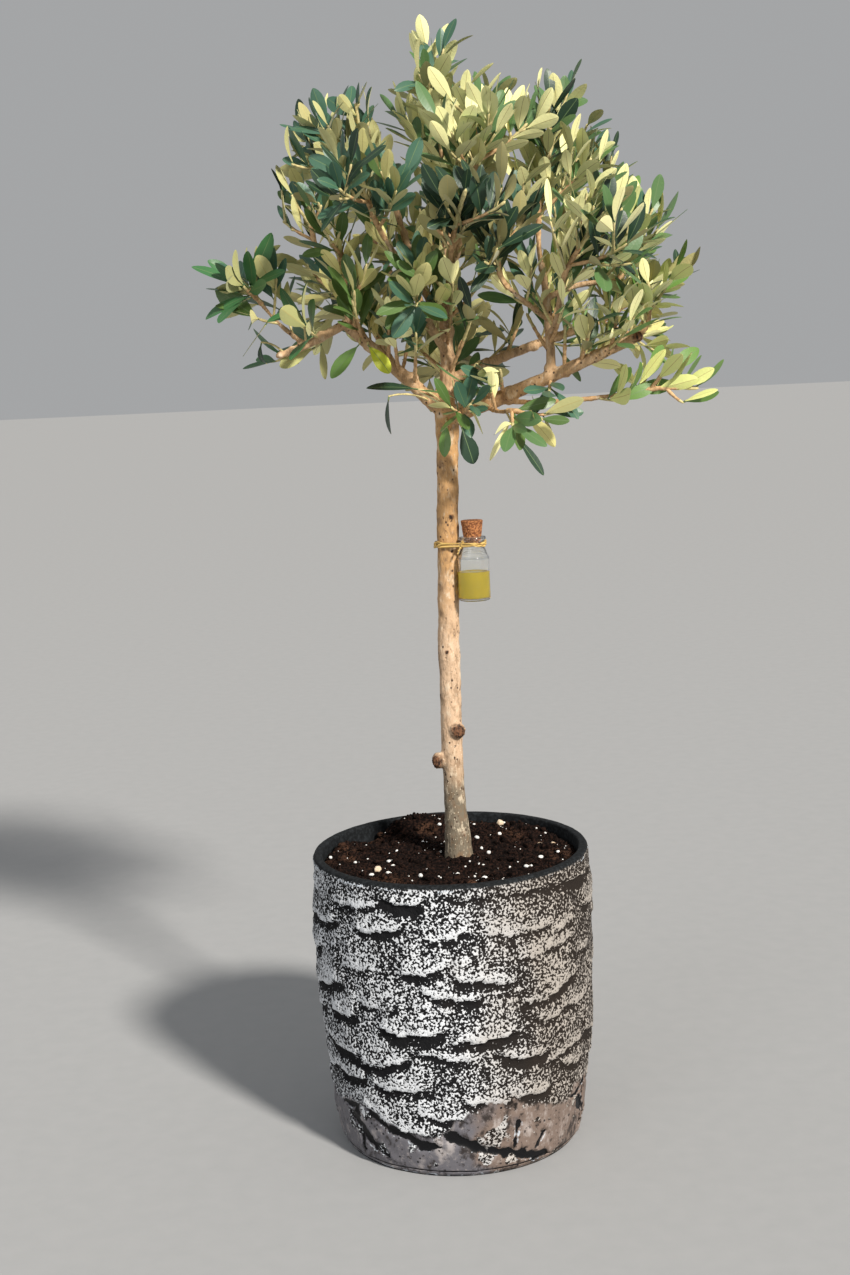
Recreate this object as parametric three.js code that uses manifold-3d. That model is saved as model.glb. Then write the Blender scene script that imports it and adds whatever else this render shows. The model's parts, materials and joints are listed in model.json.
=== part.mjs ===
// A small olive tree in a cast stone pot, with a corked bottle of oil tied to its trunk.
// Millimetres, +Z up. The origin is the centre of the pot's flat underside, and -Y is the front.

import * as THREE from "three";
import { mergeVertices } from "three/addons/utils/BufferGeometryUtils.js";
import Module from "manifold-3d";

const wasm = await Module();
wasm.setup();

const GAP = 0.3; // air between two pieces that touch
const OVERSHOOT = 5; // how far a cutting shape runs past what it cuts
const DEGREE = Math.PI / 180;
const UP = new THREE.Vector3(0, 0, 1);

// The pot is a barrel, widest above its middle, with a rounded foot.
const POT_HEIGHT = 258;
const POT_OUTLINE = [[103, 0], [108.5, 12], [115, 60], [121, 129], [122.8, 205], [119.8, POT_HEIGHT]];
const POT_WALL = 7.5;
const POT_FLOOR = 12;
const POT_SIDES = 40;
const POT_ROWS = 12;
const CAVITY_SIDES = 24;
const RIM_BAND = 14; // smooth band under the rim
const FOOT_BAND = 62; // height of the smoother plates round the foot

// The relief is rows of overlapping ledges, each proud at its lower edge.
const LEDGE_PITCH = 33;
const LEDGE_DEPTH = 2.4;
// The rows rise and fall round the pot in two waves, which drift with height, and each row fades in patches.
const LEDGE_SWAY = [{ rise: 0.34, waves: 3, drift: 40 }, { rise: 0.2, waves: 7, drift: -23 }];
const LEDGE_PATCH = { depth: 0.35, waves: 4, turn: 1.7 };

const SOIL_TOP = 249;
const SOIL_EDGE_DROP = 2; // how much lower the soil lies at the wall
const SOIL_LUMP = 1.8;
const SOIL_PITCH = [9, 11, 27]; // how far apart the lumps are across, along and aslant
const SOIL_RINGS = [98, 66, 32];

// The trunk leans a little to the right above its knee, and flares at the soil.
const TRUNK_COURSE = [[8, 1, 239], [2.2, 0, 373], [8.9, -1, 507], [14, -2, 641]];
const TRUNK_RADIUS = 9.3;
const TRUNK_FLARE = 3.4;
const FLARE_LENGTH = 60;
const FORK_SWELL = 1.8;
const FORK_LENGTH = 32;
const TRUNK_SIDES = 10;
const TRUNK_RINGS = 16;
const BURIED_BLOCK = 60; // side of the block that cuts the trunk flat at the soil
const STUBS = [
  { place: [11, -8, 361], size: [5.5, 5, 6] },
  { place: [-5.5, -2, 334], size: [5, 5, 8] },
];

// Each limb leaves its parent at a share of the parent's length and runs to its tip, bowed in the middle.
// A row is its name, its parent, that share, the tip, the bow, and the radii at its root and tip.
const LIMBS = [
  ["leader", "trunk", 1, [20, 6, 784], [0, 0, 0], [7, 3.6]],
  ["left_bough", "trunk", 0.98, [-69, -22, 713], [-4, 0, 5], [6.5, 4.2]],
  ["left_spur", "left_bough", 0.99, [-122, -30, 689], [0, 0, -4], [4, 3]],
  ["right_bough", "trunk", 0.975, [171, -35, 691], [0, -6, -5], [7.2, 4.3]],
  ["right_riser", "right_bough", 0.55, [96, -15, 755], [5, 0, 0], [4.2, 2.8]],
  ["rear_right_bough", "leader", 0.14, [142, 45, 703], [0, 6, 4], [5, 3.4]],
  ["right_outer_twig", "right_riser", 0.68, [148, -20, 736], [0, 0, 8], [2.9, 2]],
  ["low_right_twig", "right_bough", 0.24, [172, -40, 647], [0, -8, -8], [2.4, 1.7]],
  ["front_low_twig", "trunk", 0.965, [24, -34, 633], [0, 0, -5], [2.2, 1.7]],
  ["front_right_twig", "right_bough", 0.2, [62, -52, 636], [0, 0, -6], [2.4, 1.7]],
  ["front_left_twig", "leader", 0.3, [-3, -50, 721], [0, -5, -6], [3.6, 2.3]],
  ["front_high_left_twig", "leader", 0.5, [-31, -60, 776], [0, -5, -6], [3, 2]],
  ["left_riser", "left_bough", 0.93, [-66, -28, 745], [-3, 0, 0], [3, 2]],
  ["left_outer_twig", "left_bough", 0.72, [-88, 0, 774], [-4, 6, 0], [2.7, 1.9]],
  ["far_left_twig", "left_spur", 0.6, [-134, -34, 730], [-4, 0, -2], [2.1, 1.6]],
  ["top_left_branch", "leader", 0.42, [-23, -5, 811], [-6, 0, -4], [3.8, 2.5]],
  ["top_front_branch", "leader", 0.72, [39, -45, 813], [4, -4, -4], [2.9, 2.1]],
  ["top_rear_branch", "leader", 0.76, [30, 50, 831], [0, 6, -6], [2.9, 2.1]],
  ["front_branch", "leader", 0.4, [19, -62, 750], [0, -4, -8], [3.4, 2.2]],
  ["centre_right_twig", "right_riser", 0.5, [66, -56, 734], [4, -4, -6], [2.6, 1.9]],
  ["front_right_branch", "right_riser", 0.36, [106, -72, 728], [2, -6, -6], [3, 2.1]],
  ["rear_branch", "leader", 0.46, [23, 65, 748], [0, 6, -8], [3.6, 2.4]],
  ["rear_left_branch", "leader", 0.34, [-42, 50, 784], [-6, 6, -8], [3.8, 2.3]],
  ["rear_low_left_twig", "left_bough", 0.4, [-52, 55, 721], [-2, 4, -4], [3.2, 2.1]],
  ["rear_right_riser", "rear_right_bough", 0.72, [120, 70, 782], [6, 4, -4], [3.2, 2.2]],
  ["rear_low_twig", "leader", 0.07, [24, 60, 672], [0, 0, -5], [3, 1.9]],
].map(([name, on, at, tip, bow, radii]) => ({ name, on, at, tip, bow, radii }));
const LIMB_SIDES = 5;
const LIMB_STEP = 34;

// Each mass of leaves grows from its limb's tip to its own tip, with side shoots round its stem.
// A row is its name, its limb, its tip, the length of its side shoots, and how many it has.
const MASSES = [
  ["foliage_top", "leader", [9, 5, 926], 52, 3],
  ["foliage_top_left", "top_left_branch", [-92, -5, 868], 64, 4],
  ["foliage_top_front", "top_front_branch", [60, -75, 870], 58, 3],
  ["foliage_top_rear", "top_rear_branch", [44, 84, 884], 58, 3],
  ["foliage_right_top", "right_riser", [122, 0, 886], 62, 4],
  ["foliage_right_outer", "right_outer_twig", [176, -12, 792], 50, 3],
  ["foliage_right_low", "right_bough", [180, -44, 734], 44, 2],
  ["foliage_low_right", "low_right_twig", [218, -45, 647], 34, 2],
  ["foliage_front_low", "front_low_twig", [32, -54, 642], 24, 2],
  ["foliage_front_right_low", "front_right_twig", [88, -66, 628], 36, 2],
  ["foliage_front_left", "front_left_twig", [-10, -96, 750], 46, 2],
  ["foliage_front_high_left", "front_high_left_twig", [-48, -104, 826], 56, 3],
  ["foliage_front", "front_branch", [32, -122, 806], 56, 3],
  ["foliage_centre_right", "centre_right_twig", [62, -98, 782], 56, 3],
  ["foliage_front_right", "front_right_branch", [140, -106, 786], 58, 3],
  ["foliage_left", "left_riser", [-72, -42, 790], 44, 2],
  ["foliage_left_outer", "left_outer_twig", [-94, 4, 822], 42, 3],
  ["foliage_far_left", "far_left_twig", [-152, -40, 752], 28, 2],
  ["foliage_rear", "rear_branch", [30, 138, 800], 60, 3],
  ["foliage_rear_left", "rear_left_branch", [-56, 98, 842], 60, 3],
  ["foliage_rear_low_left", "rear_low_left_twig", [-102, 104, 742], 54, 3],
  ["foliage_rear_right", "rear_right_riser", [158, 104, 846], 60, 3],
  ["foliage_rear_low_right", "rear_right_bough", [188, 84, 730], 56, 3],
  ["foliage_rear_low", "rear_low_twig", [34, 118, 696], 50, 2],
].map(([name, limb, tip, spread, shoots]) => ({ name, limb, tip, spread, shoots }));
const MASS_CENTRE = 0.62; // a mass's centre, as a share of the way to its tip
const STEM_RADII = [2.3, 1.7];
const STEM_BEND = 0.35; // where a stem leaves its limb's heading, as a share of its reach
const STEM_BARE = 0.5; // leafless share of a stem
const SHOOT_RADIUS = 1.7;
const SHOOT_NECK = 0.55; // how much slimmer a side shoot is where it leaves its stem
const SHOOT_BARE = 0.42;
const SHOOT_BEND = 0.5; // where a side shoot starts to rise, as a share of its length
const SHOOT_END = { on: 0.36, up: 0.16 }; // its last stretch, along its heading and upwards
const SHOOT_SHARES = { first: 0.22, span: 0.6 }; // where side shoots leave their stem
const SHOOT_TAPER = 0.35; // how much shorter the side shoots are towards the stem's tip
const SHOOT_FULL = 1.15; // a side shoot's length at its stem's root, as a share of its mass's spread
const SHOOT_RANGE = { least: 0.85, span: 0.3 }; // by chance
const SHOOT_SPOTS = [0.35, 0.6, 0.8, 1]; // where a side shoot must be in its space, as shares of it
const SHOOT_TRIES = 4;
const SHORTER = 0.78; // length of a side shoot at each further try
const TWIG_SIDES = 3;
const TWIG_SPOTS = 8; // places along a twig that the leaves of other twigs keep clear of
const FORK_ANGLE = 50 * DEGREE;
const FORK_TURN = 137.5 * DEGREE;
const FORK_LOOSENESS = 0.7;
const LEAF_LENGTH = 54;
const LEAF_WIDTH = 20;
const LEAF_THICK = 1.4;
const LEAF_SINK = 0.2; // how far a leaf's root lies past the twig's middle
const LEAF_HEEL = { reach: 0.3, width: 0.8 }; // lower corners of a leaf, as shares of its length and width
const LEAF_SHOULDER = { reach: 0.76, width: 0.94 }; // upper corners, where it is widest
const LEAF_SPOTS = [0.3, 0.5, 0.78, 1]; // where a leaf's midrib must be clear, as shares of it
const LEAF_RANGE = { least: 0.8, span: 0.28 }; // a leaf's size, by chance
const LEAF_LEAN_RANGE = { least: 0.8, span: 0.4 }; // and its angle
const TIP_LEAF_SIZE = 0.84;
const NODE_STEP = 15; // from one pair of leaves to the next
const LAST_NODE = 0.94; // where the last pair sits, as a share of its shoot
const NODE_TWIST = 0.5;
const LEAF_ANGLE = 54 * DEGREE;
const TIP_LEAF_ANGLE = 24 * DEGREE;
// A leaf that does not fit is tried again, shorter and closer to its twig.
const LEAF_TRIES = [
  { angle: 1, size: 1 },
  { angle: 0.7, size: 0.88 },
  { angle: 1.3, size: 0.8 },
  { angle: 0.4, size: 0.76 },
];
const SPACE_MARGIN = 0.5;
const LIMB_MARGIN = 2.2;
const LEAF_MARGIN = 9.5; // between the midribs of two leaves
const TWIG_MARGIN = 6; // between a leaf's midrib and the middle of another twig
const BEAD_STEP = 4;

// The bottle hangs at the right front of the trunk, its neck level with the tie.
const BOTTLE_PLACE = [30.3, -9.4, 476];
const BOTTLE_RADIUS = 13.6;
const BOTTLE_ROUND = 1.4; // how much the foot's edge is cut off
const BOTTLE_SHOULDER = 38;
const NECK_RADIUS = 9.2;
const NECK_START = 45;
const NECK_ROUND = 1.2;
const LIP_RADIUS = 11.4;
const LIP_START = 51;
const LIP_ROUND = 0.8;
const BOTTLE_HEIGHT = 54.5;
const BOTTLE_SIDES = 16;
const GLASS_WALL = 1.3;
const GLASS_FLOOR = GLASS_WALL + 0.6;
const OIL_LEVEL = 25;
const CORK_RADII = [7.3, 9.4];
const CORK_DEPTH = 7;
const CORK_RISE = 13.5;
const CORK_ROUND = { foot: 0.8, rise: 0.6, head: 1 }; // how much its edges are cut off
const TIE_PLACE = 48.2; // the tie's height above the bottle's base
const TIE_HEIGHT = 4.6;
const TIE_THICK = 1.5;
const TIE_SLACK = 0.6;
const TIE_ARC_STEPS = 8;
const TIE_ENDS = 0.1; // how near to the knot's middle the belt ends, and the slack in its curve
const KNOT_RADIUS = 3.4;

const COLOURS = {
  pot: { color: 0x8f8d8b, roughness: 0.92, metalness: 0 },
  soil: { color: 0x2e1c16, roughness: 1, metalness: 0 },
  bark: { color: 0xa88a6c, roughness: 0.9, metalness: 0 },
  leaf: { color: 0x5f7f4e, roughness: 0.55, metalness: 0 },
  glass: { color: 0xdfe8e0, roughness: 0.05, metalness: 0 },
  oil: { color: 0xc9b21e, roughness: 0.1, metalness: 0 },
  cork: { color: 0xb5703d, roughness: 0.95, metalness: 0 },
  raffia: { color: 0xcdb56f, roughness: 0.85, metalness: 0 },
};

// A seeded stream of numbers from 0 to 1.
function seeded(seed) {
  const span = 4294967296;
  let state = (seed * 2654435761) % span;
  return () => {
    state = (1664525 * state + 1013904223) % span;
    return state / span;
  };
}

function varied(random, { least, span }) {
  return least + span * random();
}

function vector(place) {
  return new THREE.Vector3(...place);
}

// A closed geometry as a solid, turned face out when its faces point in.
function toSolid(geometry) {
  const bare = geometry.clone();
  bare.deleteAttribute("normal");
  bare.deleteAttribute("uv");
  const merged = mergeVertices(bare, 1e-3);
  const corners = new Uint32Array(merged.index.array);
  const vertProperties = merged.attributes.position.array;
  const build = () =>
    new wasm.Manifold(new wasm.Mesh({ numProp: 3, vertProperties, triVerts: corners }));
  const solid = build();
  if (solid.volume() > 0) return solid;
  for (let i = 0; i < corners.length; i += 3) {
    const first = corners[i];
    corners[i] = corners[i + 1];
    corners[i + 1] = first;
  }
  return build();
}

// The largest body of a solid. Loose scraps are dropped and sealed hollows are filled.
function largestBody(solid) {
  const bodies = solid.decompose();
  return bodies.reduce((best, body) => (body.volume() > best.volume() ? body : best));
}

function toMesh(name, solid, finish) {
  const data = solid.getMesh();
  const places = new Float32Array(data.numVert * 3);
  for (let i = 0; i < data.numVert; i++) {
    places.set(data.vertProperties.subarray(i * data.numProp, i * data.numProp + 3), i * 3);
  }
  const geometry = new THREE.BufferGeometry();
  geometry.setAttribute("position", new THREE.BufferAttribute(places, 3));
  geometry.setIndex(new THREE.BufferAttribute(new Uint32Array(data.triVerts), 1));
  geometry.computeVertexNormals();
  const mesh = new THREE.Mesh(geometry, new THREE.MeshStandardMaterial(COLOURS[finish]));
  mesh.name = name;
  return mesh;
}

// A turned shape round +Z from [radius, height] points.
function turned(outline, sides) {
  const points = outline.map(([radius, height]) => new THREE.Vector2(radius, height));
  return new THREE.LatheGeometry(points, sides).rotateX(Math.PI / 2);
}

// Moves each vertex of a geometry by a rule that changes the vector it is given.
function shift(geometry, rule) {
  const places = geometry.getAttribute("position");
  const point = new THREE.Vector3();
  for (let i = 0; i < places.count; i++) {
    point.fromBufferAttribute(places, i);
    rule(point);
    places.setXYZ(i, point.x, point.y, point.z);
  }
  return geometry;
}

// Two unit vectors across a direction.
function across(direction) {
  const rest = Math.abs(direction.z) > 0.9 ? new THREE.Vector3(1, 0, 0) : UP;
  const side = new THREE.Vector3().crossVectors(rest, direction).normalize();
  const front = new THREE.Vector3().crossVectors(direction, side).normalize();
  return [side, front];
}

// The heading of a curve at a share of its length, with two directions across it that don't twist.
function frameAt(curve, share) {
  const heading = curve.getTangent(share);
  const [startSide] = across(curve.getTangent(0));
  const side = startSide.addScaledVector(heading, -startSide.dot(heading)).normalize();
  return { heading, side, front: new THREE.Vector3().crossVectors(heading, side) };
}

// A round rod along a curve, with flat ends. The radius follows the share of the length.
function rod(curve, radiusAt, sides, rings) {
  const outline = [[0, 0]];
  for (let i = 0; i <= rings; i++) outline.push([1, i / rings]);
  outline.push([0, 1]);
  return shift(turned(outline, sides), (point) => {
    const share = Math.min(Math.max(point.z, 0), 1);
    const middle = curve.getPoint(share);
    const { side, front } = frameAt(curve, share);
    const radius = radiusAt(share);
    point.set(
      middle.x + radius * (side.x * point.x + front.x * point.y),
      middle.y + radius * (side.y * point.x + front.y * point.y),
      middle.z + radius * (side.z * point.x + front.z * point.y),
    );
  });
}

// How far the pot's wall stands proud at an angle and a height.
function ledgeRelief(angle, height) {
  const waved = ({ rise, waves, drift }) => rise * Math.sin(waves * angle + height / drift);
  const row = height / LEDGE_PITCH + waved(LEDGE_SWAY[0]) + waved(LEDGE_SWAY[1]);
  const above = row - Math.floor(row);
  const { depth, waves, turn } = LEDGE_PATCH;
  const patch = 1 - depth + depth * Math.sin(waves * angle + turn * Math.floor(row));
  const topFade = THREE.MathUtils.smoothstep(POT_HEIGHT - height, RIM_BAND * 0.5, RIM_BAND * 1.6);
  const footFade = THREE.MathUtils.smoothstep(height, FOOT_BAND * 0.3, FOOT_BAND);
  return LEDGE_DEPTH * (0.5 - above) * patch * topFade * footFade;
}

function potCurve() {
  return new THREE.SplineCurve(POT_OUTLINE.map(([radius, height]) => new THREE.Vector2(radius, height)));
}

// The cavity's outline, inset from the pot's outer outline. Inset by a little more it is the soil's.
function cavityOutline(inset, floor, top) {
  const walls = POT_OUTLINE.slice(2, -1).map(([radius, height]) => [radius - POT_WALL - inset, height]);
  const foot = [POT_OUTLINE[1][0] - POT_WALL - inset, floor];
  const mouth = POT_OUTLINE.at(-1)[0] - POT_WALL - inset;
  return [[0, floor], foot, ...walls, [mouth, top]];
}

function makePot() {
  const wall = potCurve().getPoints(POT_ROWS).map((point) => [point.x, point.y]);
  const body = shift(turned([[0, 0], ...wall, [0, POT_HEIGHT]], POT_SIDES), (point) => {
    const radius = Math.hypot(point.x, point.y);
    const isOnAxis = radius < GAP;
    if (isOnAxis) return;
    const relief = ledgeRelief(Math.atan2(point.y, point.x), point.z);
    point.x *= 1 + relief / radius;
    point.y *= 1 + relief / radius;
  });
  const brim = cavityOutline(0, POT_FLOOR, POT_HEIGHT);
  const above = POT_HEIGHT + OVERSHOOT;
  const cavity = turned([...brim, [brim.at(-1)[0], above], [0, above]], CAVITY_SIDES);
  return toSolid(body).subtract(toSolid(cavity));
}

// The soil fills the pot, flat under the trunk and lumpy nearer the wall.
function makeSoil() {
  const wall = cavityOutline(GAP, POT_FLOOR + GAP, SOIL_TOP - SOIL_EDGE_DROP);
  const rings = SOIL_RINGS.map((radius) => [radius, SOIL_TOP]);
  const soil = shift(turned([...wall, ...rings, [0, SOIL_TOP]], CAVITY_SIDES), (point) => {
    const radius = Math.hypot(point.x, point.y);
    const isLumpy = point.z > SOIL_TOP - 0.5 && radius > SOIL_RINGS.at(-1) + 1;
    const [breadth, depth, slant] = SOIL_PITCH;
    const lump = Math.sin(point.x / breadth) * Math.cos(point.y / depth + point.x / slant);
    if (isLumpy) point.z += SOIL_LUMP * lump;
  });
  return toSolid(soil);
}

// Every limb's curve and radius by name, from the foot up.
function planLimbs() {
  const plan = new Map();
  const course = new THREE.CubicBezierCurve3(...TRUNK_COURSE.map(vector));
  const length = course.getLength();
  const trunkRadius = (share) => {
    const height = course.getPoint(share).z - SOIL_TOP;
    const flare = TRUNK_FLARE * THREE.MathUtils.clamp(1 - height / FLARE_LENGTH, 0, 1) ** 1.4;
    const fromFork = (1 - share) * length;
    return TRUNK_RADIUS + flare + FORK_SWELL * Math.max(0, 1 - fromFork / FORK_LENGTH);
  };
  plan.set("trunk", { curve: course, radiusAt: trunkRadius, sides: TRUNK_SIDES, rings: TRUNK_RINGS });
  for (const limb of LIMBS) {
    const parent = plan.get(limb.on).curve;
    const start = parent.getPoint(limb.at);
    const isLeader = limb.at === 1;
    if (isLeader) start.addScaledVector(parent.getTangent(1), GAP);
    const tip = vector(limb.tip);
    const middle = start.clone().lerp(tip, 0.5).add(vector(limb.bow));
    if (isLeader) middle.copy(start).addScaledVector(parent.getTangent(1), start.distanceTo(tip) / 2);
    const curve = new THREE.QuadraticBezierCurve3(start, middle, tip);
    const [rootRadius, tipRadius] = limb.radii;
    plan.set(limb.name, {
      curve,
      radiusAt: (share) => THREE.MathUtils.lerp(rootRadius, tipRadius, share),
      sides: LIMB_SIDES,
      rings: Math.max(3, Math.round(curve.getLength() / LIMB_STEP)),
    });
  }
  return plan;
}

function limbSolid(limb, swell) {
  return toSolid(rod(limb.curve, (share) => limb.radiusAt(share) + swell, limb.sides, limb.rings));
}

// The trunk, cut flat at the soil, with its two short stubs.
function makeTrunk(plan) {
  let trunk = limbSolid(plan.get("trunk"), 0);
  for (const stub of STUBS) {
    const knob = new THREE.IcosahedronGeometry(1).scale(...stub.size).translate(...stub.place);
    trunk = trunk.add(toSolid(knob));
  }
  const buried = new THREE.BoxGeometry(BURIED_BLOCK, BURIED_BLOCK, BURIED_BLOCK);
  buried.translate(TRUNK_COURSE[0][0], 0, SOIL_TOP + GAP - BURIED_BLOCK / 2);
  return trunk.subtract(toSolid(buried));
}

// Each limb is cut clear of those before it, so that it starts at its parent's bark.
function makeLimbs(plan) {
  const made = new Map([["trunk", makeTrunk(plan)]]);
  const grown = [limbSolid(plan.get("trunk"), GAP * 1.2)];
  for (const { name, at } of LIMBS) {
    let solid = limbSolid(plan.get(name), 0);
    const older = at === 1 ? [] : grown;
    for (const other of older) solid = solid.subtract(other);
    made.set(name, largestBody(solid));
    grown.push(limbSolid(plan.get(name), GAP * 1.2));
  }
  return made;
}

// Round beads along every limb and stem, which the leaves keep clear of.
function beadsAlong(curve, radiusAt, owner) {
  const count = Math.ceil(curve.getLength() / BEAD_STEP);
  const beads = [];
  for (let i = 0; i <= count; i++) {
    beads.push({ place: curve.getPoint(i / count), radius: radiusAt(i / count), owner });
  }
  return beads;
}

function stemRadius(share) {
  return THREE.MathUtils.lerp(...STEM_RADII, share);
}

function shootRadius(share) {
  return SHOOT_RADIUS * (share > 0 ? 1 : SHOOT_NECK);
}

// The stem leaves its limb's tip face to face, then turns towards the mass's own tip.
function planStems(plan) {
  return MASSES.map((mass) => {
    const limb = plan.get(mass.limb).curve;
    const heading = limb.getTangent(1);
    const root = limb.getPoint(1).addScaledVector(heading, GAP);
    const tip = vector(mass.tip);
    const bend = root.clone().addScaledVector(heading, root.distanceTo(tip) * STEM_BEND);
    const stem = new THREE.QuadraticBezierCurve3(root, bend, tip);
    return { ...mass, stem, centre: root.clone().lerp(tip, MASS_CENTRE) };
  });
}

// Whether a point is nearer to its own mass's centre than to any other's.
function inSpace(point, own, stems, margin) {
  return stems.every((other) => {
    if (other === own) return true;
    const between = other.centre.clone().sub(own.centre);
    const middle = own.centre.clone().lerp(other.centre, 0.5);
    return point.clone().sub(middle).dot(between) < -margin * between.length();
  });
}

function clearOfBeads(point, beads, own, margin) {
  return beads.every(({ place, radius, owner }) => {
    return owner === own.name || point.distanceTo(place) > radius + margin;
  });
}

// Places on a leaf that must stay clear: its corners and some along its midrib.
function leafSpots(leaf) {
  const { root, along, side, length, width } = leaf;
  const at = (reach, share) =>
    root.clone().addScaledVector(along, length * reach).addScaledVector(side, (width * share) / 2);
  const midrib = LEAF_SPOTS.map((reach) => at(reach, 0));
  const edges = [1, -1].flatMap((hand) => [
    at(LEAF_HEEL.reach, hand * LEAF_HEEL.width),
    at(LEAF_SHOULDER.reach, hand * LEAF_SHOULDER.width),
  ]);
  return { midrib, edges };
}

// A leaf on its twig, turned out from the twig's heading by an angle, with its face towards the twig's tip.
function placeLeaf(node, angle, size) {
  const along = node.heading.clone().multiplyScalar(Math.cos(angle));
  along.addScaledVector(node.outward, Math.sin(angle));
  return {
    root: node.place.clone().addScaledVector(along, -LEAF_SINK),
    along,
    side: new THREE.Vector3().crossVectors(node.heading, along).normalize(),
    length: LEAF_LENGTH * size,
    width: LEAF_WIDTH * size,
  };
}

// The places on a shoot that bear a leaf: pairs, each turned across the last.
function leafNodes(shoot, random) {
  const { curve, bare } = shoot;
  const leafy = LAST_NODE - bare;
  const pairs = Math.max(1, Math.round((curve.getLength() * leafy) / NODE_STEP));
  const nodes = [];
  for (let pair = 0; pair <= pairs; pair++) {
    const share = bare + (leafy * pair) / pairs;
    const { heading, side, front } = frameAt(curve, share);
    const turn = Math.PI / 3 + (pair * Math.PI) / 2 + (random() - 0.5) * NODE_TWIST;
    const isTip = pair === pairs;
    for (const flip of [0, Math.PI]) {
      const outward = side.clone().multiplyScalar(Math.cos(turn + flip));
      outward.addScaledVector(front, Math.sin(turn + flip));
      nodes.push({
        place: curve.getPoint(share),
        heading,
        outward,
        angle: (isTip ? TIP_LEAF_ANGLE : LEAF_ANGLE) * varied(random, LEAF_LEAN_RANGE),
        size: (isTip ? TIP_LEAF_SIZE : 1) * varied(random, LEAF_RANGE),
      });
    }
  }
  return nodes;
}

// A side shoot of a stem, or null where no length of it stays in the mass's space.
function sideShoot(own, index, allowed, random) {
  const share = SHOOT_SHARES.first + (SHOOT_SHARES.span * index) / own.shoots;
  const start = own.stem.getPoint(share);
  const heading = own.stem.getTangent(share);
  const [side, front] = across(heading);
  const turn = FORK_TURN * index + own.seed + random() * FORK_LOOSENESS;
  const outward = side.multiplyScalar(Math.cos(turn)).addScaledVector(front, Math.sin(turn));
  const first = heading.clone().multiplyScalar(Math.cos(FORK_ANGLE));
  first.addScaledVector(outward, Math.sin(FORK_ANGLE));
  let length = own.spread * (SHOOT_FULL - SHOOT_TAPER * share) * varied(random, SHOOT_RANGE);
  for (let attempt = 0; attempt < SHOOT_TRIES; attempt++) {
    const bend = start.clone().addScaledVector(first, length * SHOOT_BEND);
    const tip = bend.clone().addScaledVector(first, length * SHOOT_END.on);
    tip.addScaledVector(UP, length * SHOOT_END.up);
    const curve = new THREE.QuadraticBezierCurve3(start, bend, tip);
    const spots = SHOOT_SPOTS.map((part) => curve.getPoint(part));
    if (spots.every(allowed)) return { curve, bare: SHOOT_BARE };
    length *= SHORTER;
  }
  return null;
}

// The shoots and leaves of one mass, by its seed. What would leave its space or touch a limb is skipped.
function growMass(own, stems, beads) {
  const allowed = (point) =>
    inSpace(point, own, stems, SPACE_MARGIN + SHOOT_RADIUS) &&
    clearOfBeads(point, beads, own, LIMB_MARGIN);
  const shoots = [{ curve: own.stem, bare: STEM_BARE }];
  for (let index = 0; index < own.shoots; index++) {
    const shoot = sideShoot(own, index, allowed, seeded(own.seed * 100 + index));
    if (shoot) shoots.push(shoot);
  }
  const isClear = (point) =>
    inSpace(point, own, stems, SPACE_MARGIN) && clearOfBeads(point, beads, own, LIMB_MARGIN);
  const twigSpots = shoots.map(({ curve }) => curve.getPoints(TWIG_SPOTS));
  const leaves = [];
  const taken = [];
  const tryLeaf = (leaf, shootIndex) => {
    const { midrib, edges } = leafSpots(leaf);
    const others = twigSpots.filter((_, index) => index !== shootIndex).flat();
    const isFree =
      midrib.every((spot) => taken.every((other) => spot.distanceTo(other) > LEAF_MARGIN)) &&
      midrib.every((spot) => others.every((other) => spot.distanceTo(other) > TWIG_MARGIN));
    if (!isFree || ![...midrib, ...edges].every(isClear)) return false;
    leaves.push(leaf);
    taken.push(...midrib);
    return true;
  };
  shoots.forEach((shoot, index) => {
    for (const node of leafNodes(shoot, seeded(own.seed * 100 + 50 + index))) {
      const placed = ({ angle, size }) => placeLeaf(node, node.angle * angle, node.size * size);
      LEAF_TRIES.some((attempt) => tryLeaf(placed(attempt), index));
    }
  });
  return { shoots, leaves };
}

// A leaf of eight faces, folded a little along its midrib, with its root in the twig.
function leafSolid(leaf) {
  const { root, along, side, length, width } = leaf;
  const corner = (reach, share, rise) => [reach * length, (share * width) / 2, (rise * LEAF_THICK) / 2];
  const corners = [
    corner(0, 0, 1),
    corner(LEAF_HEEL.reach, LEAF_HEEL.width, -1),
    corner(LEAF_SHOULDER.reach, LEAF_SHOULDER.width, -1),
    corner(1, 0, 1),
    corner(LEAF_SHOULDER.reach, -LEAF_SHOULDER.width, -1),
    corner(LEAF_HEEL.reach, -LEAF_HEEL.width, -1),
  ];
  const upper = [[0, 3, 2], [0, 2, 1], [0, 4, 3], [0, 5, 4]];
  const lower = [[0, 1, 5], [1, 2, 4], [1, 4, 5], [2, 3, 4]];
  const blade = new THREE.BufferGeometry();
  blade.setAttribute("position", new THREE.Float32BufferAttribute(corners.flat(), 3));
  blade.setIndex([...upper, ...lower].flat());
  const face = new THREE.Vector3().crossVectors(along, side);
  return toSolid(blade.applyMatrix4(new THREE.Matrix4().makeBasis(along, side, face).setPosition(root)));
}

function makeMass(own, stems, beads) {
  const { shoots, leaves } = growMass(own, stems, beads);
  const twigs = shoots.map(({ curve }, index) => {
    const isStem = index === 0;
    return toSolid(rod(curve, isStem ? stemRadius : shootRadius, TWIG_SIDES, isStem ? 3 : 2));
  });
  const joined = [...twigs, ...leaves.map(leafSolid)].reduce((sum, piece) => sum.add(piece));
  return largestBody(joined);
}

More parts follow.
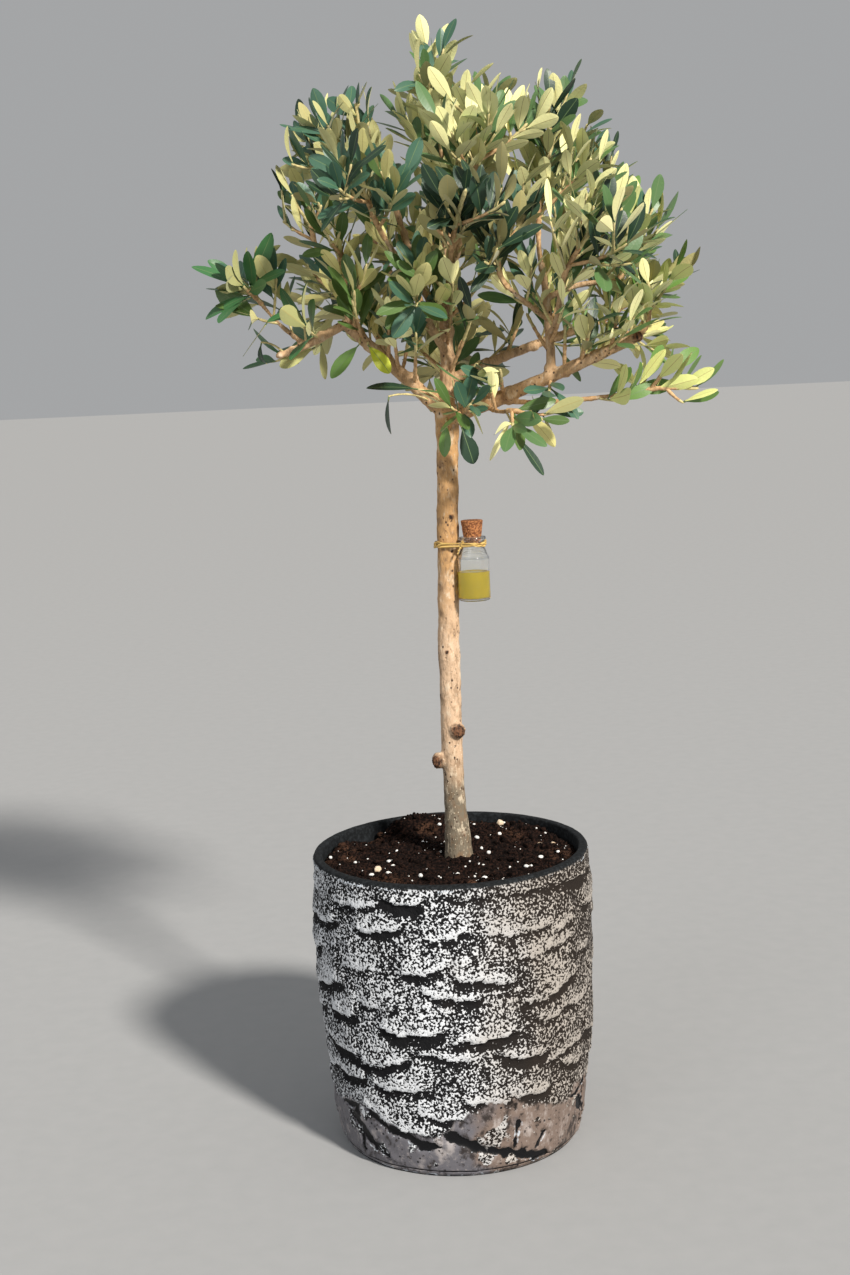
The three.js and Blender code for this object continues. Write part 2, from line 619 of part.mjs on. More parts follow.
// The hollow bottle, from the outside of its foot up over the lip and down the inside.
function makeBottle() {
  const inside = BOTTLE_RADIUS - GLASS_WALL;
  const bore = NECK_RADIUS - GLASS_WALL;
  const outline = [
    [0, 0],
    [BOTTLE_RADIUS - BOTTLE_ROUND, 0],
    [BOTTLE_RADIUS, BOTTLE_ROUND],
    [BOTTLE_RADIUS, BOTTLE_SHOULDER],
    [NECK_RADIUS + NECK_ROUND, NECK_START - NECK_ROUND],
    [NECK_RADIUS, NECK_START],
    [NECK_RADIUS, LIP_START],
    [LIP_RADIUS, LIP_START + LIP_ROUND],
    [LIP_RADIUS, BOTTLE_HEIGHT - LIP_ROUND],
    [LIP_RADIUS - LIP_ROUND, BOTTLE_HEIGHT],
    [bore, BOTTLE_HEIGHT],
    [bore, NECK_START - 0.5],
    [inside, BOTTLE_SHOULDER - 1],
    [inside, GLASS_FLOOR],
    [0, GLASS_FLOOR],
  ];
  return toSolid(turned(outline, BOTTLE_SIDES).translate(...BOTTLE_PLACE));
}

function makeOil() {
  const radius = BOTTLE_RADIUS - GLASS_WALL - GAP;
  const floor = GLASS_FLOOR + GAP;
  const outline = [[0, floor], [radius, floor], [radius, OIL_LEVEL], [0, OIL_LEVEL]];
  return toSolid(turned(outline, BOTTLE_SIDES).translate(...BOTTLE_PLACE));
}

function makeCork() {
  const plug = NECK_RADIUS - GLASS_WALL - GAP;
  const [foot, head] = CORK_RADII;
  const seat = BOTTLE_HEIGHT + GAP;
  const outline = [
    [0, BOTTLE_HEIGHT - CORK_DEPTH],
    [foot, BOTTLE_HEIGHT - CORK_DEPTH],
    [plug, seat],
    [head - CORK_ROUND.foot, seat + CORK_ROUND.rise],
    [head, seat + CORK_RISE - CORK_ROUND.head],
    [head - CORK_ROUND.head, seat + CORK_RISE],
    [0, seat + CORK_RISE],
  ];
  return toSolid(turned(outline, BOTTLE_SIDES).translate(...BOTTLE_PLACE));
}

// The middle of a rising curve at a height.
function middleAt(curve, height) {
  let [below, above] = [0, 1];
  for (let halving = 0; halving < 20; halving++) {
    const share = (below + above) / 2;
    if (curve.getPoint(share).z < height) below = share;
    else above = share;
  }
  return curve.getPoint(below);
}

// The tie's course: a belt round the trunk and the bottle's neck, closed by its knot.
function tieCourse(plan) {
  const level = BOTTLE_PLACE[2] + TIE_PLACE;
  const trunkCentre = middleAt(plan.get("trunk").curve, level);
  const neckCentre = vector(BOTTLE_PLACE);
  const clearance = TIE_SLACK + TIE_THICK / 2;
  const circles = [
    { centre: trunkCentre, radius: TRUNK_RADIUS + clearance },
    { centre: neckCentre, radius: NECK_RADIUS + clearance },
  ];
  const axis = Math.atan2(neckCentre.y - trunkCentre.y, neckCentre.x - trunkCentre.x);
  const points = [];
  circles.forEach(({ centre, radius }, end) => {
    const middleAngle = axis + (end === 0 ? Math.PI : 0);
    for (let i = 0; i <= TIE_ARC_STEPS; i++) {
      const angle = middleAngle + (i / TIE_ARC_STEPS - 0.5) * Math.PI;
      const [x, y] = [centre.x + radius * Math.cos(angle), centre.y + radius * Math.sin(angle)];
      points.push(new THREE.Vector3(x, y, level));
    }
  });
  return points;
}

function makeTie(plan) {
  const points = tieCourse(plan);
  const front = points.at(-1).clone().lerp(points[0], 0.5);
  const first = front.clone().lerp(points[0], TIE_ENDS);
  const last = front.clone().lerp(points.at(-1), TIE_ENDS);
  const course = new THREE.CatmullRomCurve3([first, ...points, last], false, "catmullrom", TIE_ENDS);
  const section = new THREE.Shape();
  const [x, y] = [TIE_HEIGHT / 2, TIE_THICK / 2];
  section.moveTo(-x, -y).lineTo(x, -y).lineTo(x, y).lineTo(-x, y).closePath();
  const belt = new THREE.ExtrudeGeometry(section, { steps: 3 * TIE_ARC_STEPS, extrudePath: course });
  const knot = new THREE.IcosahedronGeometry(KNOT_RADIUS).translate(front.x, front.y, front.z);
  return largestBody(toSolid(belt).add(toSolid(knot)));
}

// The whole plant with its pot, its bottle and the tie.
function makeTree() {
  const tree = new THREE.Group();
  const add = (name, solid, finish) => tree.add(toMesh(name, solid, finish));
  add("pot", makePot(), "pot");
  add("soil", makeSoil(), "soil");
  const plan = planLimbs();
  for (const [name, solid] of makeLimbs(plan)) add(name, solid, "bark");
  const stems = planStems(plan).map((mass, index) => ({ ...mass, seed: index + 1 }));
  const beads = [...plan].flatMap(([name, limb]) => beadsAlong(limb.curve, limb.radiusAt, name));
  for (const own of stems) beads.push(...beadsAlong(own.stem, stemRadius, own.name));
  for (const own of stems) add(own.name, makeMass(own, stems, beads), "leaf");
  add("bottle", makeBottle(), "glass");
  add("oil", makeOil(), "oil");
  add("cork", makeCork(), "cork");
  add("raffia_tie", makeTie(plan), "raffia");
  return tree;
}

export default makeTree();
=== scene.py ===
"""The looks of a small olive tree in a cast stone pot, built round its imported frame.

Metres, +Z up. The origin is the centre of the pot's flat underside, and -Y is the front. The crown
grows by the same seeded rule as the solids do, carried on to finer twigs and smaller leaves.
"""

import json
import logging
import math
from collections.abc import Callable, Iterator, Sequence
from dataclasses import dataclass, replace
from enum import Enum
from functools import cached_property

import bpy
import numpy as np
from mathutils import Matrix, Vector, noise

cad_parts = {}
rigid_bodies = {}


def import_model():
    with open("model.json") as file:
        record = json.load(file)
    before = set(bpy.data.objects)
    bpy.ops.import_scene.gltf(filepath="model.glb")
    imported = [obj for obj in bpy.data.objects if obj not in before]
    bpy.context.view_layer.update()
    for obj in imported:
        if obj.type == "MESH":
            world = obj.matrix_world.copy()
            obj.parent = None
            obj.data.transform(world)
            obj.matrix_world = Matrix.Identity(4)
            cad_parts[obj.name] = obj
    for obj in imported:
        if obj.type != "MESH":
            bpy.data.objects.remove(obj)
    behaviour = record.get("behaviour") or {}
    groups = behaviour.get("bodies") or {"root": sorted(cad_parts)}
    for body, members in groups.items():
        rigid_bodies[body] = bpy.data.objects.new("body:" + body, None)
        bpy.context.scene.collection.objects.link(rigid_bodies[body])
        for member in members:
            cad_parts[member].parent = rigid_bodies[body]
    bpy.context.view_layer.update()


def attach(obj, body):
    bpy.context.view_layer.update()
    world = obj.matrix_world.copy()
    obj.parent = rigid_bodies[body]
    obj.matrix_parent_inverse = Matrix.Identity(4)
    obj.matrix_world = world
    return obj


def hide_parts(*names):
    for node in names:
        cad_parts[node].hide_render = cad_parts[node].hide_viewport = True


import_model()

LOG = logging.getLogger("olive_tree")
UP = Vector((0.0, 0.0, 1.0))
GAP = 0.0003  # air that the solids keep between two pieces
BODY = "root"
COURSE_STEPS = 200  # in which a course's length is measured

Trio = tuple[float, float, float]
Colour = Trio
Place = Trio
Span = tuple[float, float]
Face = tuple[int, ...]
Way = Vector | np.ndarray
Piece = bpy.types.Object
Socket = bpy.types.NodeSocket
Material = bpy.types.Material

# The pot is a barrel, widest above its middle, with a rounded foot.
POT_HEIGHT = 0.258
POT_OUTLINE = (
    (0.103, 0.0), (0.1085, 0.012), (0.115, 0.06), (0.121, 0.129), (0.1228, 0.205), (0.1198, POT_HEIGHT),
)
POT_WALL = 0.0075
POT_FLOOR = 0.012
SOIL_TOP = 0.249

# The trunk leans a little to the right above its knee, and flares at the soil.
TRUNK_COURSE = ((0.008, 0.001, 0.239), (0.0022, 0, 0.373), (0.0089, -0.001, 0.507), (0.014, -0.002, 0.641))
TRUNK_RADIUS = 0.0093
TRUNK_FLARE = 0.0034
FLARE_LENGTH = 0.06
FORK_SWELL = 0.0018
FORK_LENGTH = 0.032

# A row is a limb's name, its parent, where on that it starts, the tip, the bow, and its two radii.
LIMBS = (
    ("leader", "trunk", 1, (0.02, 0.006, 0.784), (0, 0, 0), (0.007, 0.0036)),
    ("left_bough", "trunk", 0.98, (-0.069, -0.022, 0.713), (-0.004, 0, 0.005), (0.0065, 0.0042)),
    ("left_spur", "left_bough", 0.99, (-0.122, -0.03, 0.689), (0, 0, -0.004), (0.004, 0.003)),
    ("right_bough", "trunk", 0.975, (0.171, -0.035, 0.691), (0, -0.006, -0.005), (0.0072, 0.0043)),
    ("right_riser", "right_bough", 0.55, (0.096, -0.015, 0.755), (0.005, 0, 0), (0.0042, 0.0028)),
    ("rear_right_bough", "leader", 0.14, (0.142, 0.045, 0.703), (0, 0.006, 0.004), (0.005, 0.0034)),
    ("right_outer_twig", "right_riser", 0.68, (0.148, -0.02, 0.736), (0, 0, 0.008), (0.0029, 0.002)),
    ("low_right_twig", "right_bough", 0.24, (0.172, -0.04, 0.647), (0, -0.008, -0.008), (0.0024, 0.0017)),
    ("front_low_twig", "trunk", 0.965, (0.024, -0.034, 0.633), (0, 0, -0.005), (0.0022, 0.0017)),
    ("front_right_twig", "right_bough", 0.2, (0.062, -0.052, 0.636), (0, 0, -0.006), (0.0024, 0.0017)),
    ("front_left_twig", "leader", 0.3, (-0.003, -0.05, 0.721), (0, -0.005, -0.006), (0.0036, 0.0023)),
    ("front_high_left_twig", "leader", 0.5, (-0.031, -0.06, 0.776), (0, -0.005, -0.006), (0.003, 0.002)),
    ("left_riser", "left_bough", 0.93, (-0.066, -0.028, 0.745), (-0.003, 0, 0), (0.003, 0.002)),
    ("left_outer_twig", "left_bough", 0.72, (-0.088, 0, 0.774), (-0.004, 0.006, 0), (0.0027, 0.0019)),
    ("far_left_twig", "left_spur", 0.6, (-0.134, -0.034, 0.73), (-0.004, 0, -0.002), (0.0021, 0.0016)),
    ("top_left_branch", "leader", 0.42, (-0.023, -0.005, 0.811), (-0.006, 0, -0.004), (0.0038, 0.0025)),
    ("top_front_branch", "leader", 0.72, (0.039, -0.045, 0.813), (0.004, -0.004, -0.004), (0.0029, 0.0021)),
    ("top_rear_branch", "leader", 0.76, (0.03, 0.05, 0.831), (0, 0.006, -0.006), (0.0029, 0.0021)),
    ("front_branch", "leader", 0.4, (0.019, -0.062, 0.75), (0, -0.004, -0.008), (0.0034, 0.0022)),
    ("centre_right_twig", "right_riser", 0.5, (0.066, -0.056, 0.734),
     (0.004, -0.004, -0.006), (0.0026, 0.0019)),
    ("front_right_branch", "right_riser", 0.36, (0.106, -0.072, 0.728),
     (0.002, -0.006, -0.006), (0.003, 0.0021)),
    ("rear_branch", "leader", 0.46, (0.023, 0.065, 0.748), (0, 0.006, -0.008), (0.0036, 0.0024)),
    ("rear_left_branch", "leader", 0.34, (-0.042, 0.05, 0.784), (-0.006, 0.006, -0.008), (0.0038, 0.0023)),
    ("rear_low_left_twig", "left_bough", 0.4, (-0.052, 0.055, 0.721),
     (-0.002, 0.004, -0.004), (0.0032, 0.0021)),
    ("rear_right_riser", "rear_right_bough", 0.72, (0.12, 0.07, 0.782),
     (0.006, 0.004, -0.004), (0.0032, 0.0022)),
    ("rear_low_twig", "leader", 0.07, (0.024, 0.06, 0.672), (0, 0, -0.005), (0.003, 0.0019)),
)


class Tint(Enum):
    """A spray's colouring, and how far its leaves face outwards, least and most."""

    DEEP = ("deep", -0.35, 1.2)
    # blue-green tops, partly their own grey-green and partly a painted reflection of the sky
    SKY_SHEEN = ("sea", -0.2, 1.2)
    OLIVE = ("olive", -0.7, 0.9)
    # pale undersides, partly their own cream and partly painted sunlight
    SUNLIT_CREAM = ("cream", -1.2, 0.4)
    # yellow-green leaves, partly their own colour and partly painted light shining through them from behind
    BACKLIT = ("bright", -0.1, 0.9)
    LEAFY = ("leafy", 0.4, 1.1)
    YELLOW = ("yellow", 0.0, 1.0)


# A row is a mass's name past "foliage_", its limb, its tip, its side shoots' length and number, its usual
# tint, and how far its leaves turn up. The masses on the right mostly take the sunlit and backlit tints,
# painted light on the crown's sunlit side.
MASSES = (
    ("top", "leader", (0.009, 0.005, 0.938), 0.052, 3, Tint.SUNLIT_CREAM, 0.5),
    ("top_left", "top_left_branch", (-0.092, -0.005, 0.868), 0.064, 4, Tint.SKY_SHEEN, 0.4),
    ("top_front", "top_front_branch", (0.06, -0.075, 0.87), 0.058, 3, Tint.SUNLIT_CREAM, 0.5),
    ("top_rear", "top_rear_branch", (0.044, 0.084, 0.884), 0.058, 3, Tint.SKY_SHEEN, 0.3),
    ("right_top", "right_riser", (0.122, 0, 0.886), 0.062, 4, Tint.SUNLIT_CREAM, 0.6),
    ("right_outer", "right_outer_twig", (0.176, -0.012, 0.792), 0.05, 3, Tint.BACKLIT, 0.5),
    ("right_low", "right_bough", (0.18, -0.044, 0.734), 0.044, 2, Tint.SUNLIT_CREAM, 0.3),
    ("low_right", "low_right_twig", (0.218, -0.045, 0.647), 0.034, 2, Tint.BACKLIT, 0.75),
    ("front_low", "front_low_twig", (0.032, -0.054, 0.642), 0.024, 2, Tint.BACKLIT, -0.1),
    ("front_right_low", "front_right_twig", (0.088, -0.066, 0.628), 0.036, 2, Tint.OLIVE, -0.15),
    ("front_left", "front_left_twig", (-0.01, -0.096, 0.75), 0.046, 2, Tint.OLIVE, 0.3),
    ("front_high_left", "front_high_left_twig", (-0.048, -0.104, 0.826), 0.056, 3, Tint.SKY_SHEEN, 0.45),
    ("front", "front_branch", (0.032, -0.122, 0.806), 0.056, 3, Tint.DEEP, 0.45),
    ("centre_right", "centre_right_twig", (0.062, -0.098, 0.782), 0.056, 3, Tint.DEEP, 0.4),
    ("front_right", "front_right_branch", (0.14, -0.106, 0.786), 0.058, 3, Tint.SUNLIT_CREAM, 0.35),
    ("left", "left_riser", (-0.072, -0.042, 0.79), 0.044, 2, Tint.OLIVE, 0.4),
    ("left_outer", "left_outer_twig", (-0.094, 0.004, 0.822), 0.042, 3, Tint.DEEP, 0.3),
    ("far_left", "far_left_twig", (-0.152, -0.04, 0.752), 0.028, 2, Tint.LEAFY, 0.1),
    ("rear", "rear_branch", (0.03, 0.138, 0.8), 0.06, 3, Tint.SKY_SHEEN, 0.3),
    ("rear_left", "rear_left_branch", (-0.056, 0.098, 0.842), 0.06, 3, Tint.OLIVE, 0.2),
    ("rear_low_left", "rear_low_left_twig", (-0.102, 0.104, 0.742), 0.054, 3, Tint.DEEP, 0.1),
    ("rear_right", "rear_right_riser", (0.158, 0.104, 0.846), 0.06, 3, Tint.SUNLIT_CREAM, 0.3),
    ("rear_low_right", "rear_right_bough", (0.188, 0.084, 0.73), 0.056, 3, Tint.OLIVE, 0.2),
    ("rear_low", "rear_low_twig", (0.034, 0.118, 0.696), 0.05, 2, Tint.DEEP, 0.1),
)

# Where the crown is seen from, and its outline from there, across and up at the trunk's distance.
VIEW_PLACE = (-0.0232, -1.481, 0.6779)
CROWN_OUTLINE = (
    (-0.004, 0.63), (-0.039, 0.615), (-0.053, 0.664), (-0.094, 0.663), (-0.127, 0.679), (-0.154, 0.675),
    (-0.178, 0.722), (-0.196, 0.764), (-0.149, 0.785), (-0.125, 0.787), (-0.11, 0.765), (-0.126, 0.824),
    (-0.122, 0.842), (-0.11, 0.857), (-0.128, 0.88), (-0.127, 0.896), (-0.104, 0.902), (-0.07, 0.916),
    (-0.026, 0.908), (-0.001, 0.915), (-0.009, 0.956), (0.014, 0.967), (0.046, 0.952), (0.048, 0.924),
    (0.099, 0.913), (0.109, 0.926), (0.142, 0.923), (0.142, 0.897), (0.163, 0.879), (0.163, 0.852),
    (0.179, 0.835), (0.222, 0.827), (0.229, 0.786), (0.24, 0.761), (0.221, 0.728), (0.229, 0.694),
    (0.262, 0.676), (0.26, 0.653), (0.231, 0.634), (0.134, 0.632), (0.105, 0.608), (0.107, 0.574),
    (0.074, 0.591), (0.04, 0.592), (0.006, 0.607),
)

# A row is the limb that a leafy inner shoot grows from, where on that it starts, and its tip.
INNER_SHOOTS = (
    ("leader", 0.16, (0.043, -0.055, 0.733)),
    ("leader", 0.06, (0.062, -0.06, 0.706)),
    ("right_bough", 0.22, (0.057, -0.055, 0.683)),
    ("right_riser", 0.3, (0.108, -0.075, 0.718)),
    ("right_bough", 0.48, (0.086, -0.07, 0.704)),
    ("right_bough", 0.7, (0.134, -0.06, 0.712)),
    ("right_bough", 0.86, (0.155, -0.07, 0.728)),
    ("left_bough", 0.3, (-0.01, -0.055, 0.702)),
    ("left_bough", 0.55, (-0.03, -0.055, 0.732)),
    ("leader", 0.34, (0.021, -0.066, 0.74)),
    ("left_bough", 0.8, (-0.06, -0.055, 0.73)),
    ("left_riser", 0.3, (-0.044, -0.06, 0.765)),
    ("leader", 0.1, (0.066, 0.03, 0.69)),
    ("leader", 0.2, (-0.02, 0.045, 0.706)),
    ("rear_right_bough", 0.4, (0.09, 0.05, 0.735)),
    ("left_bough", 0.6, (-0.05, 0.03, 0.745)),
    ("leader", 0.85, (-0.016, 0.016, 0.8)),
    ("leader", 0.5, (0.052, 0.014, 0.748)),
    ("leader", 0.65, (0.07, 0.02, 0.762)),
    ("right_riser", 0.2, (0.078, 0.012, 0.73)),
    ("leader", 0.12, (0.058, 0.008, 0.69)),
    ("right_riser", 0.45, (0.118, 0.02, 0.742)),
    ("top_left_branch", 0.4, (-0.05, 0.012, 0.79)),
    ("left_bough", 0.42, (-0.012, 0.02, 0.72)),
    ("leader", 0.95, (0.03, -0.062, 0.845)),
    ("right_bough", 0.35, (0.078, -0.012, 0.7)),
    ("right_bough", 0.3, (0.056, -0.05, 0.684)),
    ("right_bough", 0.42, (0.07, -0.047, 0.7)),
    ("right_bough", 0.52, (0.088, -0.052, 0.697)),
    ("right_bough", 0.62, (0.112, -0.045, 0.711)),
    ("right_bough", 0.74, (0.133, -0.048, 0.694)),
    ("right_bough", 0.55, (0.096, -0.052, 0.65)),
    ("front_right_twig", 0.5, (0.046, -0.05, 0.668)),
    ("front_low_twig", 0.5, (0.03, -0.046, 0.67)),
    ("left_bough", 0.45, (-0.028, -0.052, 0.706)),
    ("left_bough", 0.88, (-0.058, -0.062, 0.737)),
)

# A row is the limb that a leaf standing apart hangs from, where on that its stalk starts, its root, its
# tip, where its face looks, its width, curl and tint, and whether it has a stalk of its own.
SINGLE_LEAVES = (
    ("left_bough", 0.74, (-0.05, -0.031, 0.6945), (-0.0318, -0.034, 0.671),
     (0.3, -0.9, 0.3), 0.013, 0.2, Tint.YELLOW, True),
    ("left_bough", 0.82, (-0.0565, -0.033, 0.695), (-0.083, -0.037, 0.67),
     (0.1, -0.8, 0.6), 0.0135, 0.3, Tint.BACKLIT, True),
    ("trunk", 0.985, (-0.0345, -0.026, 0.6515), (-0.041, -0.03, 0.6205),
     (-0.9, -0.45, 0.2), 0.011, 0.5, Tint.DEEP, True),
    ("left_spur", 0.93, (-0.1365, -0.032, 0.7), (-0.145, -0.034, 0.6772),
     (-0.5, -0.8, 0.0), 0.007, 1.7, Tint.DEEP, True),
    ("front_right_twig", 0.9, (0.0665, -0.0585, 0.6165), (0.0906, -0.061, 0.5837),
     (0.6, -0.7, 0.4), 0.0095, 0.15, Tint.DEEP, True),
    ("trunk", 0.97, (0.012, -0.021, 0.628), (0.009, -0.03, 0.6),
     (-0.1, -0.95, 0.2), 0.0105, 0.2, Tint.BACKLIT, True),
    ("front_low_twig", 0.6, (0.024, -0.034, 0.624), (0.034, -0.036, 0.593),
     (0.2, -0.95, 0.1), 0.0155, 0.25, Tint.DEEP, True),
    ("trunk", 0.99, (-0.01, -0.02, 0.656), (-0.052, -0.028, 0.664),
     (0.1, -0.6, 0.8), 0.013, 0.3, Tint.DEEP, True),
    ("far_left_twig", 0.98, (-0.1452, -0.0445, 0.744), (-0.1862, -0.052, 0.7656),
     (0.3, -0.75, 0.6), 0.0115, 0.25, Tint.LEAFY, True),
    ("far_left_twig", 1.0, (-0.1445, -0.0465, 0.7445), (-0.163, -0.062, 0.765),
     (0.4, -0.5, 0.7), 0.0125, 0.2, Tint.SKY_SHEEN, False),
    ("far_left_twig", 1.0, (-0.144, -0.0455, 0.7445), (-0.1205, -0.052, 0.785),
     (0.5, -0.85, 0.1), 0.0145, 0.2, Tint.LEAFY, False),
    ("far_left_twig", 1.0, (-0.1436, -0.046, 0.7435), (-0.1138, -0.062, 0.7575),
     (0.0, -0.6, 0.8), 0.0125, 0.2, Tint.LEAFY, False),
    ("far_left_twig", 1.0, (-0.1405, -0.0435, 0.7385), (-0.1812, -0.054, 0.7265),
     (-0.1, -0.6, 0.8), 0.0155, 0.4, Tint.LEAFY, False),
    ("left_spur", 0.6, (-0.101, -0.047, 0.7236), (-0.1292, -0.058, 0.718),
     (0.0, -0.6, 0.8), 0.0112, 0.2, Tint.LEAFY, True),
)


class Stream:
    """A seeded stream of numbers from 0 to 1, the same as the solids' own."""

    SPAN = 4294967296

    def __init__(self, seed: int) -> None:
        """Starts the stream from the number that fixes the whole of it."""
        self.state = seed * 2654435761 % self.SPAN

    def __call__(self) -> float:
        """Gives the next number."""
        self.state = (1664525 * self.state + 1013904223) % self.SPAN
        return self.state / self.SPAN

    def between(self, low: float, high: float) -> float:
        """Gives the next number, spread from low to high."""
        return low + (high - low) * self()


@dataclass(frozen=True)
class Course:
    """A Bezier course through space, from a limb's root to its tip."""

    points: tuple[Vector, ...]

    def at(self, share: float) -> Vector:
        """Gives the point at a share of the way."""
        points = [point.copy() for point in self.points]
        while len(points) > 1:
            points = [a.lerp(b, share) for a, b in zip(points, points[1:])]
        return points[0]

    def heading(self, share: float) -> Vector:
        """Gives the unit direction at a share of the way."""
        steps = tuple(b - a for a, b in zip(self.points, self.points[1:]))
        return Course(steps).at(share).normalized()

    def length(self) -> float:
        """Gives the length along the course."""
        places = [self.at(i / COURSE_STEPS) for i in range(COURSE_STEPS + 1)]
        return sum((b - a).length for a, b in zip(places, places[1:]))

    def sides(self, share: float) -> tuple[Vector, Vector]:
        """Gives two unit directions across the course that don't twist along it."""
        heading = self.heading(share)
        start, _ = across(self.heading(0.0))
        side = (start - heading * start.dot(heading)).normalized()
        return side, heading.cross(side)


@dataclass(frozen=True)
class Limb:
    """The trunk, a bough or a twig: its course and its radius at each share of that."""

    name: str
    course: Course
    radius_at: Callable[[float], float]


Limbs = dict[str, Limb]


@dataclass(frozen=True)
class Stem:
    """A mass's own stem, with what the rule needs to grow the mass on it."""

    number: int
    name: str
    course: Course
    centre: Vector
    spread: float
    shoots: int
    tint: Tint
    lift: float

    @property
    def seed(self) -> int:
        """Gives the number that the seeds of the mass's streams come from."""
        return self.number + 1


@dataclass(frozen=True)
class Shoot:
    """A stem, side shoot or finer twig that bears leaves past its bare share.

    Its rank is how far it is from the stem. The parent is the number of what it grows from, from the
    given share of that, and the twig is drawn until a share of its own course.
    """

    course: Course
    bare: float
    radii: Span
    rank: int
    parent: int = 0
    share: float = 0.0
    until: float = 1.0


def across(direction: Vector) -> tuple[Vector, Vector]:
    """Gives two unit vectors across a direction."""
    rest = Vector((1.0, 0.0, 0.0)) if abs(direction.z) > 0.9 else UP
    side = rest.cross(direction).normalized()
    return side, direction.cross(side).normalized()


def turned(first: Way, second: Way, angle: float) -> Way:
    """Gives the direction that is turned by an angle from the first one towards the second."""
    return first * math.cos(angle) + second * math.sin(angle)


def nearest(points: np.ndarray, others: np.ndarray) -> float:
    """Gives the least distance between two rows of points."""
    return np.linalg.norm(points[:, None, :] - others, axis=2).min()


def lerp(low: float, high: float, share: float) -> float:
    """Gives the value at a share of the way from low to high."""
    return low + (high - low) * share


def clamped(value: float) -> float:
    """Gives the value kept between 0 and 1."""
    return min(max(value, 0.0), 1.0)


def smoothstep(value: float, low: float, high: float) -> float:
    """Gives a smooth step from 0 at low to 1 at high."""
    share = clamped((value - low) / (high - low))
    return share * share * (3 - 2 * share)


def roughness_at(place: Vector, size: float, octaves: int = 2) -> float:
    """Gives fractal noise of about -1 to 1, with lumps of the given size."""
    return noise.fractal(place / size, 0.8, 2.1, octaves, noise_basis="PERLIN_ORIGINAL")


def trunk_radius(course: Course, share: float) -> float:
    """Gives the trunk's radius, with its flare at the soil and its swell under the fork."""
    height = course.at(share).z - SOIL_TOP
    flare = TRUNK_FLARE * clamped(1 - height / FLARE_LENGTH) ** 1.4
    from_fork = (1 - share) * (TRUNK_COURSE[-1][2] - TRUNK_COURSE[0][2])
    return TRUNK_RADIUS + flare + FORK_SWELL * max(0.0, 1 - from_fork / FORK_LENGTH)


def plan_limbs() -> Limbs:
    """Works out every limb's course and radius, from the foot up.

    Returns:
        The limbs by name, the trunk first.
    """
    course = Course(tuple(Vector(point) for point in TRUNK_COURSE))
    plan = {"trunk": Limb("trunk", course, lambda share: trunk_radius(course, share))}
    for name, parent_name, at, tip_place, bow, radii in LIMBS:
        parent = plan[parent_name].course
        start, tip = parent.at(at), Vector(tip_place)
        middle = start.lerp(tip, 0.5) + Vector(bow)
        if at == 1:
            start += parent.heading(1.0) * GAP
            middle = start + parent.heading(1.0) * (tip - start).length / 2
        taper = lambda share, radii=radii: lerp(*radii, share)
        plan[name] = Limb(name, Course((start, middle, tip)), taper)
    return plan


def deselect() -> None:
    """Deselects every object, so that an operator acts only on what is picked next."""
    bpy.ops.object.select_all(action="DESELECT")


def added(operator: Callable[..., set[str]], **settings: object) -> Piece:
    """Gives the object that one of the add operators makes, with nothing else selected."""
    deselect()
    operator(**settings)
    return bpy.context.object


def pick(*pieces: Piece) -> None:
    """Selects these objects alone, with the first one active."""
    deselect()
    for piece in pieces:
        piece.select_set(True)
    bpy.context.view_layer.objects.active = pieces[0]


def settle(piece: Piece) -> Piece:
    """Puts a piece's place into its mesh and its origin at the frame's."""
    pick(piece)
    bpy.ops.object.transform_apply(location=True, rotation=True, scale=True)
    return piece


def apply(piece: Piece, kind: str, **settings: object) -> None:
    """Adds one modifier to a piece and applies it.

    Args:
        piece: The mesh object.
        kind: The modifier's type, such as REMESH.
        **settings: The modifier's properties.
    """
    modifier = piece.modifiers.new(kind.title(), kind)
    for name, value in settings.items():
        setattr(modifier, name, value)
    pick(piece)
    bpy.ops.object.modifier_apply(modifier=modifier.name)


def finish_piece(
    piece: Piece, sharp: float, materials: Sequence[Material], nodes: Sequence[str] = ()
) -> None:
    """Shades a piece smooth, dresses it and ties it to the frame.

    Args:
        piece: The finished mesh, with its place in its mesh.
        sharp: The angle in degrees from which an edge stays sharp.
        materials: The piece's materials, in the order of its faces' numbers.
        nodes: The solids that the piece stands for.
    """
    pick(piece)
    bpy.ops.object.shade_smooth_by_angle(angle=math.radians(sharp))
    numbers = np.zeros(len(piece.data.polygons), np.int32)
    piece.data.polygons.foreach_get("material_index", numbers)
    piece.data.materials.clear()
    for material in materials:
        piece.data.materials.append(material)
    piece.data.polygons.foreach_set("material_index", numbers)
    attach(piece, BODY)
    if nodes:
        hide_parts(*nodes)
    LOG.info("%s: %d faces", piece.name, len(piece.data.polygons))


def spun(name: str, profile: Sequence[Span], steps: int, place: Place = (0, 0, 0)) -> Piece:
    """Turns a closed profile round an upright axis.

    Args:
        name: The piece's name.
        profile: Radius and height of each corner, from the axis and back to it, or a closed section.
        steps: How many faces go round.
        place: The foot of the axis.

    Returns:
        The turned piece, with its place in its mesh.
    """
    piece = added(bpy.ops.mesh.primitive_circle_add, vertices=len(profile), radius=0.01, location=place)
    piece.name = name
    for vertex, (radius, height) in zip(piece.data.vertices, profile):
        vertex.co = (radius, 0.0, height)
    settle(piece)
    bpy.ops.object.mode_set(mode="EDIT")
    bpy.ops.mesh.select_all(action="SELECT")
    bpy.ops.mesh.spin(steps=steps, angle=2 * math.pi, center=place, axis=(0, 0, 1))
    bpy.ops.mesh.select_all(action="SELECT")
    bpy.ops.mesh.remove_doubles(threshold=1e-6)
    bpy.ops.mesh.dissolve_degenerate(threshold=1e-7)
    bpy.ops.mesh.normals_make_consistent(inside=False)
    bpy.ops.object.mode_set(mode="OBJECT")
    return piece


